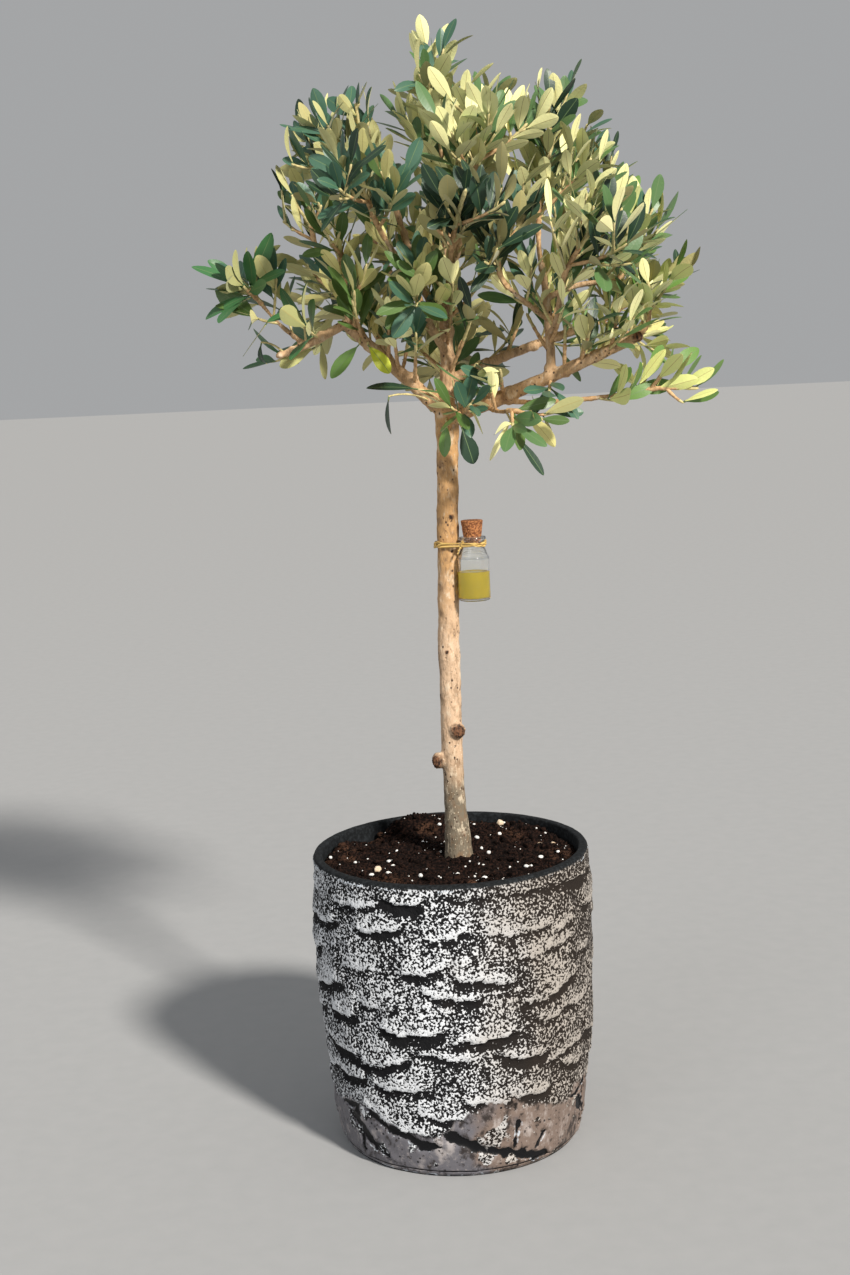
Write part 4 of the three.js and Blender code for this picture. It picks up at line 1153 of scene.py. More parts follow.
@dataclass(frozen=True)
class SoilBed:
    """The peat in the pot, with crumbs, white perlite and a few pale chips.

    A bank or hollow is its place, how far it reaches each way, how flat it is and how high it stands.
    """

    cuts: int = 190
    depth: float = 0.012
    crumbs: int = 820
    perlite: int = 190
    chips: int = 4
    stretches: tuple[Span, ...] = ((0.75, 1.3), (0.7, 1.1), (0.55, 0.9))
    banks: tuple[tuple[float, ...], ...] = (
        (-0.066, 0.066, 0.016, 0.018, 2, -0.009),
        (-0.022, 0.096, 0.032, 0.018, 4, 0.0125),
        (-0.093, 0.02, 0.017, 0.045, 2, 0.004),
        (0.07, 0.075, 0.03, 0.02, 2, 0.003),
    )

    def rim_radius(self) -> float:
        """Gives the radius inside the pot's mouth."""
        return POT_OUTLINE[-1][0] - POT_WALL - GAP

    def level(self, x: float, y: float) -> float:
        """Gives the soil's height at a place."""
        place = Vector((x, y, 0.0))
        radius = math.hypot(x, y)
        lumps = 0.0014 * roughness_at(place, 0.03, 2) + 0.0024 * roughness_at(place, 0.01, 2)
        lumps += 0.0016 * roughness_at(place, 0.0034, 2)
        bank = 0.0026 * math.exp(-(((y - 0.085) / 0.03) ** 2)) * smoothstep(x, 0.0, 0.02)
        for middle, back, wide, deep, power, rise in self.banks:
            bank += rise * math.exp(-(((x - middle) / wide) ** power + ((y - back) / deep) ** power))
        collar = 0.0016 * smoothstep(0.03 - math.hypot(x - 0.008, y), 0.0, 0.018)
        trench = 0.0035 * smoothstep(radius, self.rim_radius() - 0.006, self.rim_radius())
        return SOIL_TOP - 0.0002 + lumps + bank + collar - trench

    def build(self) -> None:
        """Builds the bed and what lies on it."""
        self.bed()
        self.scatter("soil_crumbs", self.crumbs, (0.0011, 0.0044), 11, SoilFinish().material(), 0.3)
        white = SpeckFinish("perlite", (0.72, 0.7, 0.66), (0.9, 0.9, 0.88), 0.0012, 0.0004).material()
        self.scatter("perlite_grains", self.perlite, (0.0004, 0.0022), 23, white, 0.12)
        pale = SpeckFinish("wood_chip", (0.6, 0.45, 0.3), (0.74, 0.62, 0.48), 0.002).material()
        self.scatter("wood_chips", self.chips, (0.0022, 0.0042), 37, pale, 0.25)

    def mark_edge(self, piece: Piece) -> None:
        """Marks the corners near the pot's wall, where the peat has dried."""
        mark(piece, "edge", [smoothstep(v.co.xy.length, 0.055, 0.1) for v in piece.data.vertices])

    def bed(self) -> None:
        """Makes the bed from a grid drawn in to a disc, with its edge turned down."""
        cuts = {"x_subdivisions": self.cuts, "y_subdivisions": self.cuts}
        piece = added(bpy.ops.mesh.primitive_grid_add, **cuts, size=2.0, location=(0, 0, SOIL_TOP))
        piece.name = "soil_bed"
        settle(piece)
        bpy.ops.object.mode_set(mode="EDIT")
        bpy.ops.mesh.select_all(action="SELECT")
        bpy.ops.mesh.region_to_loop()
        bpy.ops.mesh.extrude_region_move(TRANSFORM_OT_translate={"value": (0, 0, -self.depth)})
        bpy.ops.mesh.edge_face_add()
        bpy.ops.object.mode_set(mode="OBJECT")
        reach = self.rim_radius()

        def drawn_in(corner: Vector) -> Vector:
            """Moves one corner of the square grid to its place on the disc."""
            x = corner.x * math.sqrt(max(0.0, 1 - corner.y**2 / 2)) * reach
            y = corner.y * math.sqrt(max(0.0, 1 - corner.x**2 / 2)) * reach
            height = self.level(x, y) if corner.z > SOIL_TOP - self.depth / 2 else corner.z
            return Vector((x, y, height))

        reshape(piece, drawn_in)
        self.mark_edge(piece)
        finish_piece(piece, 60.0, [SoilFinish().material()], ["soil"])

    def scatter(
        self, name: str, count: int, sizes: Span, seed: int, finish: Material, sink: float
    ) -> None:
        """Scatters rough grains over the bed and joins them into one piece.

        Args:
            name: The piece's name.
            count: How many grains.
            sizes: The least and the greatest radius.
            seed: The seed of the grains' stream.
            finish: Their material.
            sink: How far each lies in the soil, as a share of its radius.
        """
        random = Stream(seed)
        ball = added(bpy.ops.mesh.primitive_ico_sphere_add, subdivisions=2, radius=1.0)
        corners = np.array([v.co for v in ball.data.vertices])
        faces = [tuple(p.vertices) for p in ball.data.polygons]
        bpy.data.objects.remove(ball)
        arrays = MeshArrays()
        for number in range(count):
            angle = random() * 2 * math.pi
            radius = math.sqrt(random()) * (self.rim_radius() - 0.006)
            x, y = radius * math.cos(angle), radius * math.sin(angle)
            size = lerp(*sizes, random() ** 3)
            stretch = np.array([random.between(*span) for span in self.stretches])
            apart = Vector.Fill(3, 7.3 * number)
            lumps = [1 + 0.3 * roughness_at(Vector(corner) + apart, 0.8, 2) for corner in corners]
            turn = np.array(Matrix.Rotation(random() * 2 * math.pi, 3, "Z"))
            if math.hypot(x - 0.008, y) < 0.015:
                continue
            shape = (corners * np.array(lumps)[:, None] * stretch * size) @ turn.T
            shape += np.array([x, y, self.level(x, y) + size * (0.5 - sink)])
            arrays.add(shape, faces, [0] * len(faces))
        piece = arrays.piece(name)
        self.mark_edge(piece)
        finish_piece(piece, 80.0, [finish])


@dataclass(frozen=True)
class Framework:
    """The trunk and boughs, fused at the forks, with the relief of their bark.

    A stub is its place and its radii. A scar is its place, its reach and how far it stands out.
    """

    voxel: float = 0.00102
    foot: float = 0.0035
    tube_step: float = 0.004
    trunk_wander: float = 0.08
    bough_wander: float = 0.35
    stubs: tuple[tuple[Place, Place], ...] = (
        ((0.0106, -0.009, 0.363), (0.0074, 0.0066, 0.0082)),
        ((-0.0072, -0.003, 0.336), (0.0064, 0.0058, 0.008)),
    )
    scars: tuple[tuple[Place, float, float], ...] = (
        ((0.0118, -0.0158, 0.3625), 0.0136, -0.0012),
        ((-0.011, -0.0092, 0.335), 0.0142, -0.001),
        ((0.0141, -0.012, 0.2706), 0.0066, -0.0012),
        ((-0.0035, -0.0085, 0.459), 0.0036, 0.0006),
        ((0.0128, -0.0095, 0.5475), 0.0042, 0.0009),
        ((0.0045, -0.0098, 0.432), 0.003, 0.0003),
        ((0.171, -0.037, 0.6915), 0.0085, 0.0002),
    )
    knob_step: float = 0.024
    knob_swell: float = 1.16
    knob_seat: float = 0.32
    cut_ends: tuple[str, ...] = ("left_spur", "right_bough", "rear_right_bough")

    def tube(self, limb: Limb) -> Piece:
        """Makes one limb as a bevelled curve, turned into a mesh."""
        count = max(8, round(limb.course.length() / self.tube_step))
        loose = self.trunk_wander if limb.name == "trunk" else self.bough_wander
        piece = added(bpy.ops.curve.primitive_nurbs_path_add, enter_editmode=False)
        curve = piece.data
        curve.splines.clear()
        spline = curve.splines.new("POLY")
        spline.points.add(count)
        for i, point in enumerate(spline.points):
            share = i / count
            place = limb.course.at(share)
            wander = loose * limb.radius_at(share) * math.sin(math.pi * share)
            place += Vector((roughness_at(place, 0.03), roughness_at(place + UP, 0.03), 0)) * wander
            point.co = (*place, 1.0)
            point.radius = limb.radius_at(share) * (1 + 0.05 * roughness_at(place, 0.012))
        curve.bevel_depth = 1.0
        curve.bevel_resolution = 6
        curve.use_fill_caps = True
        piece.location = (0, 0, 0)
        pick(piece)
        bpy.ops.object.convert(target="MESH")
        return piece

    def knob(self, place: Place, size: Place) -> Piece:
        """Makes one rough knob, such as a short stub."""
        ball = {"subdivisions": 2, "radius": 1.0, "location": place, "scale": size}
        piece = settle(added(bpy.ops.mesh.primitive_ico_sphere_add, **ball))
        reshape(piece, lambda p: p + (p - Vector(place)).normalized() * 0.0012 * roughness_at(p, 0.003))
        return piece

    def knobs(self, limb: Limb) -> Iterator[Piece]:
        """Makes the swellings along a limb, where twigs once grew."""
        count = round(limb.course.length() / self.knob_step)
        random = Stream(len(limb.name) * 7 + count)
        for number in range(count):
            share = (number + 0.3 + 0.6 * random()) / count
            radius = limb.radius_at(share)
            side, front = limb.course.sides(share)
            outward = turned(side, front, random() * 2 * math.pi)
            place = limb.course.at(share) + outward * radius * self.knob_seat
            size = radius * self.knob_swell * (0.86 + 0.2 * random())
            yield self.knob(tuple(place), (size, size, size))

    def relief(self, place: Vector, normal: Vector) -> tuple[Vector, float]:
        """Gives where a point of the bark goes, and how dark a scar makes it."""
        drawn = Vector((place.x, place.y, place.z * 0.3))
        move = 0.00022 * roughness_at(drawn, 0.0025, 3) + 0.00045 * roughness_at(place, 0.011, 2)
        dark = 0.0
        for middle, reach, rise in self.scars:
            distance = (place - Vector(middle)).length / reach
            ring = math.exp(-((distance * 1.3) ** 2))
            move += ring * (rise + 0.0008 * roughness_at(place, 0.0016, 2))
            dark = max(dark, smoothstep(ring + 0.2 * roughness_at(place, 0.002, 2), 0.35, 0.75))
        return place + normal * move, dark

    def build(self, plan: Limbs) -> None:
        """Fuses the limbs, works the bark in, and dresses them.

        Args:
            plan: Every limb by name.
        """
        parts = [self.tube(limb) for limb in plan.values()]
        parts += [self.knob(place, size) for place, size in self.stubs]
        parts += [knob for limb in plan.values() if limb.name != "trunk" for knob in self.knobs(limb)]
        for name in self.cut_ends:
            limb = plan[name]
            radius = limb.radius_at(1.0)
            tip = limb.course.at(1.0)
            parts.append(self.knob(tuple(tip), (radius * 1.25, radius * 1.2, radius * 1.15)))
        pick(*parts)
        bpy.ops.object.join()
        piece = bpy.context.object
        piece.name = "trunk_and_boughs"
        apply(piece, "REMESH", mode="VOXEL", voxel_size=self.voxel)
        apply(piece, "SMOOTH", factor=0.5, iterations=5)
        bpy.ops.object.mode_set(mode="EDIT")
        bpy.ops.mesh.select_all(action="SELECT")
        level = (0, 0, SOIL_TOP - self.foot)
        bpy.ops.mesh.bisect(plane_co=level, plane_no=(0, 0, 1), use_fill=True, clear_inner=True)
        bpy.ops.object.mode_set(mode="OBJECT")
        moved = [self.relief(vertex.co, vertex.normal) for vertex in piece.data.vertices]
        for vertex, (place, _) in zip(piece.data.vertices, moved):
            vertex.co = place
        mark(piece, "scar", [dark for _, dark in moved])
        finish_piece(piece, 70.0, [BarkFinish().material()], list(plan))


def seen_within(outline: np.ndarray, points: np.ndarray) -> np.ndarray:
    """Tells for each point whether it is seen inside the crown's outline.

    Args:
        outline: The outline's corners, across and up.
        points: The points, one row each.

    Returns:
        True for each point that is seen inside.
    """
    view = np.array(VIEW_PLACE)
    flat = view + (points - view) * (view[1] / (view[1] - points[:, 1]))[:, None]
    x, z = flat[:, 0, None], flat[:, 2, None]
    ahead = np.roll(outline, -1, axis=0)
    spans = (outline[:, 1] > z) != (ahead[:, 1] > z)
    rise = np.where(ahead[:, 1] == outline[:, 1], 1.0, ahead[:, 1] - outline[:, 1])
    crossing = outline[:, 0] + (ahead[:, 0] - outline[:, 0]) / rise * (z - outline[:, 1])
    return (spans & (x < crossing)).sum(1) % 2 == 1


class Space:
    """Who owns which part of the crown, and what its leaves keep clear of."""

    HEADROOM = 0.036
    BEAD_STEP = 0.004

    def __init__(
        self, stems: Sequence[Stem], limbs: Limbs, radius_at: Callable[[float], float]
    ) -> None:
        """Strings beads along every limb and stem.

        Args:
            stems: The masses' stems.
            limbs: Every limb by name.
            radius_at: A stem's radius at a share of its course.
        """
        self.centres = np.array([stem.centre for stem in stems])
        self.outline = np.array(CROWN_OUTLINE)
        self.ceilings = [stem.course.at(1.0).z + self.HEADROOM for stem in stems]
        places, radii, owners = [], [], []
        strings = [(limb.course, limb.radius_at, -1) for limb in limbs.values()]
        strings += [(stem.course, radius_at, number) for number, stem in enumerate(stems)]
        for course, radius, owner in strings:
            count = math.ceil(course.length() / self.BEAD_STEP)
            for i in range(count + 1):
                places.append(course.at(i / count))
                radii.append(radius(i / count))
                owners.append(owner)
        self.places = np.array(places)
        self.radii = np.array(radii)
        self.owners = np.array(owners)

    def nearest_to(self, place: Vector) -> list[int]:
        """Gives the numbers of the masses, the one nearest to a place first."""
        return np.linalg.norm(self.centres - np.array(place), axis=1).argsort().tolist()

    def holds(self, points: np.ndarray, own: int, edge: float, air: float) -> bool:
        """Tests whether points lie in a mass's own space and clear of every limb.

        Args:
            points: The points, one row each.
            own: The mass's number.
            edge: How far inside its space they must be.
            air: How far from every limb.

        Returns:
            True where all of them do.
        """
        between = self.centres - self.centres[own]
        middle = (self.centres + self.centres[own]) / 2
        beyond = ((points[:, None, :] - middle) * between).sum(2) + edge * np.linalg.norm(between, axis=1)
        beyond[:, own] = -1.0
        if (beyond >= 0).any() or points[:, 2].max() > self.ceilings[own]:
            return False
        if not seen_within(self.outline, points).all():
            return False
        apart = np.linalg.norm(points[:, None, :] - self.places, axis=2)
        return bool(((apart > self.radii + air) | (self.owners == own)).all())


@dataclass(frozen=True)
class Leaf:
    """One leaf: where it is fixed, how it lies, its size, its curl and its tint."""

    root: Vector
    along: Vector
    side: Vector
    length: float
    width: float
    curl: float
    fold: float
    twist: float
    tint: Tint

    def spots(self) -> tuple[np.ndarray, np.ndarray]:
        """Gives the places on the midrib and on the edges that must stay clear."""
        root, along, side = np.array(self.root), np.array(self.along), np.array(self.side)
        midrib = [root + along * self.length * reach for reach in (0.3, 0.5, 0.78, 1.0)]
        edges = [
            root + along * self.length * reach + side * self.width / 2 * hand * share
            for hand in (1, -1)
            for reach, share in ((0.3, 0.8), (0.76, 0.94))
        ]
        return np.array(midrib), np.array(edges)


@dataclass(frozen=True)
class SingleLeaf:
    """A leaf that stands apart on a twig of its own or, where not stalked, at the end of a limb."""

    limb: str
    share: float
    root: Place
    tip: Place
    facing: Place
    width: float
    curl: float
    tint: Tint
    stalked: bool

    def leaf(self) -> Leaf:
        """Gives it as a leaf of the crown."""
        root, tip = Vector(self.root), Vector(self.tip)
        along = (tip - root).normalized()
        side = Vector(self.facing).cross(along).normalized()
        return Leaf(root, along, side, (tip - root).length, self.width, self.curl, 0.15, 0.2, self.tint)

    def stalk(self, limbs: Limbs, radii: Span) -> Shoot:
        """Gives the leafless twig that holds it, arched a little."""
        start, root = limbs[self.limb].course.at(self.share), Vector(self.root)
        bend = start.lerp(root, 0.5) + UP * (root - start).length * 0.25
        return Shoot(Course((start, bend, root)), 1.0, radii, 2)


@dataclass(frozen=True)
class LeafShape:
    """The make of every leaf: a stalk, then a blade of two halves beside a midrib."""

    stalk: float = 0.09
    stalk_width: float = 0.0011
    rows: tuple[float, ...] = (0.09, 0.24, 0.42, 0.6, 0.77, 0.89, 0.97)
    fullness: float = 0.62
    widest: float = 1.3
    rib: float = 0.022
    thick: float = 0.00066

    def half_width(self, share: float) -> float:
        """Gives the blade's half width at a share of its length, with 1 at its widest."""
        return math.sin(math.pi * share**self.widest) ** self.fullness

    def section(self, half: float, rib: float, thick: float, fold: float) -> list[Span]:
        """Gives the six corners across a leaf: edge, midrib above, edge, midrib below."""
        lift = half * math.tan(fold)
        above, below = thick * 0.5, -thick * 0.55
        return [(-half, lift), (-rib, above), (rib, above), (half, lift), (rib, below), (-rib, below)]

    def corners(self, leaf: Leaf) -> np.ndarray:
        """Places the corners of one leaf, bent by its curl and turned by its twist."""
        root, along, side = np.array(leaf.root), np.array(leaf.along), np.array(leaf.side)
        face = np.cross(along, side)
        stalk = (self.stalk_width / 2, self.stalk_width / 3, self.stalk_width, 0.0)
        rows = [(0.0, *stalk), (self.stalk, *stalk)]
        for share in self.rows:
            half = leaf.width / 2 * self.half_width(share)
            reach = self.stalk + (1 - self.stalk) * share
            rib, thick = half * self.rib + 0.0001, self.thick * (1.1 - 0.5 * share)
            rows.append((reach, half, rib, thick, leaf.fold))
        places = []
        for reach, half, rib, thick, fold in rows:
            middle, lifted, sideways = self.bent(leaf, reach, along, side, face)
            for x, z in self.section(half, rib, thick, fold):
                places.append(root + middle + sideways * x + lifted * z)
        tip, _, _ = self.bent(leaf, 1.0, along, side, face)
        places.append(root + tip)
        return np.array(places)

    def bent(
        self, leaf: Leaf, reach: float, along: np.ndarray, side: np.ndarray, face: np.ndarray
    ) -> tuple[np.ndarray, np.ndarray, np.ndarray]:
        """Gives the midrib's place at a share of a leaf, and the directions up from it and across."""
        angle = leaf.curl * reach
        chord = reach * leaf.length * (math.sin(angle / 2) / (angle / 2) if abs(angle) > 1e-4 else 1.0)
        middle = turned(along, -face, angle / 2) * chord
        lifted = turned(face, along, angle)
        twist = leaf.twist * reach
        return middle, turned(lifted, -side, twist), turned(side, lifted, twist)

    def faces(self) -> tuple[list[Face], list[int]]:
        """Gives a leaf's faces and the part that each is of: 0 above, 1 below, 2 midrib, 3 vein."""
        parts = (0, 2, 0, 1, 3, 1)
        faces, kinds = [tuple(range(6))], [2]
        count = len(self.rows) + 2
        for row in range(count - 1):
            for k in range(6):
                a, b = row * 6 + k, row * 6 + (k + 1) % 6
                faces.append((a, a + 6, b + 6, b))
                kinds.append(2 if row == 0 else parts[k])
        last, tip = (count - 1) * 6, count * 6
        for k in range(6):
            faces.append((last + k, tip, last + (k + 1) % 6))
            kinds.append(parts[k])
        return faces, kinds


@dataclass(frozen=True)
class Habit:
    """How a kind of shoot grows: its leafless share, its radii, its rank, and how upright it starts."""

    bare: float
    radii: Span
    rank: int
    lift: float = 0.0


@dataclass(frozen=True)
class Crown:
    """The twigs and leaves, grown in each mass's own space from its stem.

    The pure masses keep mostly to their own tint and bear larger leaves. Neither they nor the sparse ones
    bear finer twigs, and the sparse ones bear no twigs from the limbs either.
    """

    limbs: Limbs
    mass_centre: float = 0.62
    stem_bend: float = 0.35
    stem_radii: Span = (0.0023, 0.0015)
    stem_bare: float = 0.34
    shoot: Habit = Habit(0.3, (0.0016, 0.001), 1)
    shoot_bend: float = 0.5
    shoot_end: Span = (0.36, 0.16)
    shoot_shares: Span = (0.22, 0.6)
    shoot_taper: float = 0.35
    shoot_tries: int = 4
    shorter: float = 0.78
    fork_angle: float = math.radians(50)
    fork_turn: float = math.radians(137.5)
    fork_looseness: float = 0.7
    twig_step: float = 0.0185
    twig_length: Span = (0.026, 0.046)
    stem_twigs: Span = (0.24, 0.74)
    shoot_twigs: Span = (0.24, 0.86)
    twig: Habit = Habit(0.2, (0.0012, 0.0008), 2, 0.45)
    sprout_step: float = 0.0135
    sprout_length: Span = (0.022, 0.044)
    sprout_from: float = 0.2
    sprout: Habit = Habit(0.35, (0.0012, 0.0008), 2)
    boughs: tuple[str, ...] = ("left_bough", "right_bough", "front_low_twig")
    bough_bare: float = 0.36
    sprout_lift: Span = (-0.05, 0.7)
    leaf_length: float = 0.0365
    leaf_width: float = 0.0126
    node_step: float = 0.009
    last_node: float = 0.96
    node_twist: float = 0.7
    leaf_angle: float = math.radians(50)
    tip_leaf_angle: float = math.radians(17)
    leaf_shapes: tuple[Span, ...] = ((-0.25, 0.6), (-0.1, 0.3), (-0.45, 0.45), (0.76, 1.16), (-0.5, 0.5))
    axis: Span = (0.02, 0.02)
    along_pull: float = 0.7
    up_pull: float = 0.4
    # the right mix deals more of the sunlit and backlit tints than the others: painted light on the crown's
    # sunlit side
    left_mix: tuple[Tint, ...] = (Tint.DEEP, Tint.SKY_SHEEN, Tint.OLIVE, Tint.SKY_SHEEN, Tint.SUNLIT_CREAM)
    middle_mix: tuple[Tint, ...] = (Tint.SUNLIT_CREAM, Tint.SKY_SHEEN, Tint.DEEP, Tint.OLIVE, Tint.SKY_SHEEN, Tint.SUNLIT_CREAM)
    right_mix: tuple[Tint, ...] = (Tint.SUNLIT_CREAM, Tint.DEEP, Tint.SUNLIT_CREAM, Tint.SKY_SHEEN, Tint.BACKLIT, Tint.SUNLIT_CREAM)
    middle: Span = (-0.015, 0.085)
    own_share: float = 0.4
    pure: tuple[str, ...] = ("foliage_far_left", "foliage_low_right")
    pure_share: float = 0.85
    pure_size: float = 1.18
    sparse: tuple[str, ...] = ("foliage_front_low", "foliage_front_right_low")
    stalk_radii: Span = (0.0011, 0.0007)
    leaf_tries: tuple[Span, ...] = ((1, 1), (0.7, 0.94), (1.3, 0.86), (0.4, 0.82))
    stump: float = 0.03
    space_margin: float = 0.0005
    limb_margin: float = 0.0015
    leaf_margin: float = 0.0046
    twig_margin: float = 0.0028
    twig_sides: int = 6
    node_swell: float = 1.28
    tan_share: float = 0.6

    @cached_property
    def stems(self) -> list[Stem]:
        """Plans each mass's stem, from its limb's tip towards its own."""
        planned = []
        for number, (name, limb, tip_place, spread, shoots, tint, lift) in enumerate(MASSES):
            course = self.limbs[limb].course
            heading = course.heading(1.0)
            root, tip = course.at(1.0) + heading * GAP, Vector(tip_place)
            bend = root + heading * (tip - root).length * self.stem_bend
            centre = root.lerp(tip, self.mass_centre)
            course = Course((root, bend, tip))
            planned.append(Stem(number, f"foliage_{name}", course, centre, spread, shoots, tint, lift))
        return planned

    @cached_property
    def space(self) -> Space:
        """Gives each mass its part of the crown."""
        return Space(self.stems, self.limbs, lambda share: lerp(*self.stem_radii, share))

    def side_shoots(self, stem: Stem) -> Iterator[Shoot]:
        """Grows a stem's side shoots by the solids' rule, but none of which no length fits."""
        for index in range(stem.shoots):
            random = Stream(stem.seed * 100 + index)
            share = self.shoot_shares[0] + self.shoot_shares[1] * index / stem.shoots
            turn = self.fork_turn * index + stem.seed + random() * self.fork_looseness
            length = stem.spread * (1.15 - self.shoot_taper * share) * (0.85 + 0.3 * random())
            shoot = self.branch(stem.course, share, turn, length, stem.number, self.shoot)
            if shoot:
                yield replace(shoot, share=share)

    def branch(
        self, course: Course, share: float, turn: float, length: float, number: int, habit: Habit
    ) -> Shoot | None:
        """Grows a shoot out of a course and up, shorter at each try, until it fits its space.

        Args:
            course: What it grows from.
            share: Where on that it starts.
            turn: Which way round that it leaves.
            length: Its length at the first try.
            number: The mass's number.
            habit: How its kind grows.

        Returns:
            The shoot, or None where no length of it fits.
        """
        start, heading = course.at(share), course.heading(share)
        side, front = across(heading)
        first = turned(heading, turned(side, front, turn), self.fork_angle)
        if habit.lift:
            first = (first + UP * habit.lift).normalized()
        for _ in range(self.shoot_tries):
            bend = start + first * length * self.shoot_bend
            tip = bend + first * length * self.shoot_end[0] + UP * length * self.shoot_end[1]
            grown = Course((start, bend, tip))
            spots = np.array([grown.at(part) for part in (0.35, 0.6, 0.8, 1.0)])
            edge = self.space_margin + self.shoot.radii[0]
            if self.space.holds(spots, number, edge, self.limb_margin):
                return Shoot(grown, habit.bare, habit.radii, habit.rank)
            length *= self.shorter
        return None

    def inner_shoots(self) -> Iterator[tuple[int, Shoot]]:
        """Grows the inner shoots, each in the space of the mass nearest to its outer half."""
        for name, share, tip_place in INNER_SHOOTS:
            start, tip = self.limbs[name].course.at(share), Vector(tip_place)
            bend = start.lerp(tip, 0.5) - UP * (tip - start).length * 0.1
            course = Course((start, bend, tip))
            number = self.space.nearest_to(course.at(0.75))[0]
            yield number, Shoot(course, self.shoot.bare, self.shoot.radii, self.shoot.rank)

    def finer(self, parent: Shoot, stem: Stem, index: int) -> Iterator[Shoot]:
        """Grows finer twigs from a shoot, by the same rule at a smaller size."""
        count = max(1, round(parent.course.length() / self.twig_step))
        for child in range(count):
            random = Stream(stem.seed * 1000 + index * 20 + child + 7)
            leafy = self.shoot_twigs if parent.rank else self.stem_twigs
            share = lerp(*leafy, (child + random()) / count)
            turn = self.fork_turn * (child + 1) + index * 1.9 + random() * self.fork_looseness
            length = lerp(*self.twig_length, random()) * (1.1 - 0.35 * share)
            twig = self.branch(parent.course, share, turn, length, stem.number, self.twig)
            if twig:
                yield replace(twig, parent=index, share=share)

    def sprouts(self) -> Iterator[tuple[int, Shoot]]:
        """Grows short twigs straight from the limbs, each in the space of the mass nearest to it."""
        for order, limb in enumerate(self.limbs.values()):
            if limb.name == "trunk":
                continue
            count = round(limb.course.length() / self.sprout_step)
            for child in range(count):
                random = Stream(order * 977 + child * 31 + 5)
                first = self.bough_bare if limb.name in self.boughs else self.sprout_from
                share = lerp(first, 0.96, (child + random()) / count)
                turn = self.fork_turn * child + order + random() * self.fork_looseness
                reach = lerp(*self.sprout_length, random())
                habit = replace(self.sprout, lift=lerp(*self.sprout_lift, random()))
                place = limb.course.at(share) + UP * reach * 0.5
                for number in self.space.nearest_to(place)[:3]:
                    twig = self.branch(limb.course, share, turn, reach, number, habit)
                    if twig:
                        yield number, twig
                        break

    def leaf_nodes(self, shoot: Shoot, random: Stream) -> Iterator[tuple[float, Vector, float, float]]:
        """Gives the places on a shoot that bear a leaf: pairs, each turned across the last.

        Args:
            shoot: The shoot.
            random: Its stream.

        Returns:
            For each leaf, where on the shoot it is, which way it leaves, at what angle, and its size.
        """
        leafy = self.last_node - shoot.bare
        pairs = max(1, round(shoot.course.length() * leafy / self.node_step))
        for pair in range(pairs + 1):
            share = shoot.bare + leafy * pair / pairs
            side, front = shoot.course.sides(share)
            turn = math.pi / 3 + pair * math.pi / 2 + (random() - 0.5) * self.node_twist
            is_tip = pair == pairs
            for flip in (0.0, math.pi):
                outward = turned(side, front, turn + flip)
                angle = (self.tip_leaf_angle if is_tip else self.leaf_angle) * (0.8 + 0.4 * random())
                size = (0.9 if is_tip else 1.0) * (0.76 + 0.36 * random())
                yield share, outward, angle, size

    def tint_of(self, stem: Stem, random: Stream) -> Tint:
        """Deals a spray its tint: mostly its mass's own, now and then another."""
        if random() < (self.pure_share if stem.name in self.pure else self.own_share):
            return stem.tint
        others = self.middle_mix
        if stem.centre.x < self.middle[0]:
            others = self.left_mix
        if stem.centre.x > self.middle[1]:
            others = self.right_mix
        return others[int(random() * len(others)) % len(others)]

    def grow(
        self, stem: Stem, inner: Sequence[Shoot], sprouts: Sequence[Shoot]
    ) -> tuple[list[Shoot], list[Leaf]]:
        """Grows one mass. What would leave its space or touch a limb is skipped.

        Args:
            stem: The mass's stem.
            inner: The inner shoots in its space.
            sprouts: The twigs in its space that grow straight from a limb.

        Returns:
            Its shoots, and its leaves.
        """
        shoots = [Shoot(stem.course, self.stem_bare, self.stem_radii, 0), *self.side_shoots(stem)]
        if stem.name not in self.sparse + self.pure:
            for index, parent in enumerate(list(shoots)):
                shoots.extend(self.finer(parent, stem, index))
        shoots.extend(inner)
        if stem.name not in self.sparse:
            shoots.extend(sprouts)
        spots = [np.array([shoot.course.at(i / 8) for i in range(9)]) for shoot in shoots]
        leaves: list[Leaf] = []
        taken = np.full((1, 3), 9.0)
        ends = [0.0] * len(shoots)
        large = self.pure_size if stem.name in self.pure else 1.0
        for index, shoot in enumerate(shoots):
            others = np.concatenate([s for other, s in enumerate(spots) if other != index] or [taken])
            random, looks = Stream(stem.seed * 100 + 50 + index), Stream(stem.seed * 500 + index)
            tint = self.tint_of(stem, looks)
            for share, outward, angle, size in self.leaf_nodes(shoot, random):
                place, heading = shoot.course.at(share), shoot.course.heading(share)
                shape = [looks.between(*span) for span in (*self.leaf_shapes, tint.value[1:])]
                for more, less in self.leaf_tries:
                    along = (turned(heading, outward, angle * more) + UP * stem.lift).normalized()
                    leaf = self.placed(place, heading, along, size * less * large, shape, tint)
                    midrib, edges = leaf.spots()
                    if nearest(midrib, taken) < self.leaf_margin:
                        continue
                    if nearest(midrib, others) < self.twig_margin:
                        continue
                    clear = np.concatenate([midrib, edges])
                    if self.space.holds(clear, stem.number, self.space_margin, self.limb_margin):
                        leaves.append(leaf)
                        taken = np.concatenate([taken, midrib])
                        ends[index] = share
                        break
        for index in range(len(shoots) - 1, 0, -1):
            shoot = shoots[index]
            if ends[index] and shoot.share:
                ends[shoot.parent] = max(ends[shoot.parent], shoot.share + self.stump)
        leafy = [(shoot, min(end + self.stump, 1.0)) for shoot, end in zip(shoots, ends) if end]
        return [replace(shoot, until=until) for shoot, until in leafy], leaves

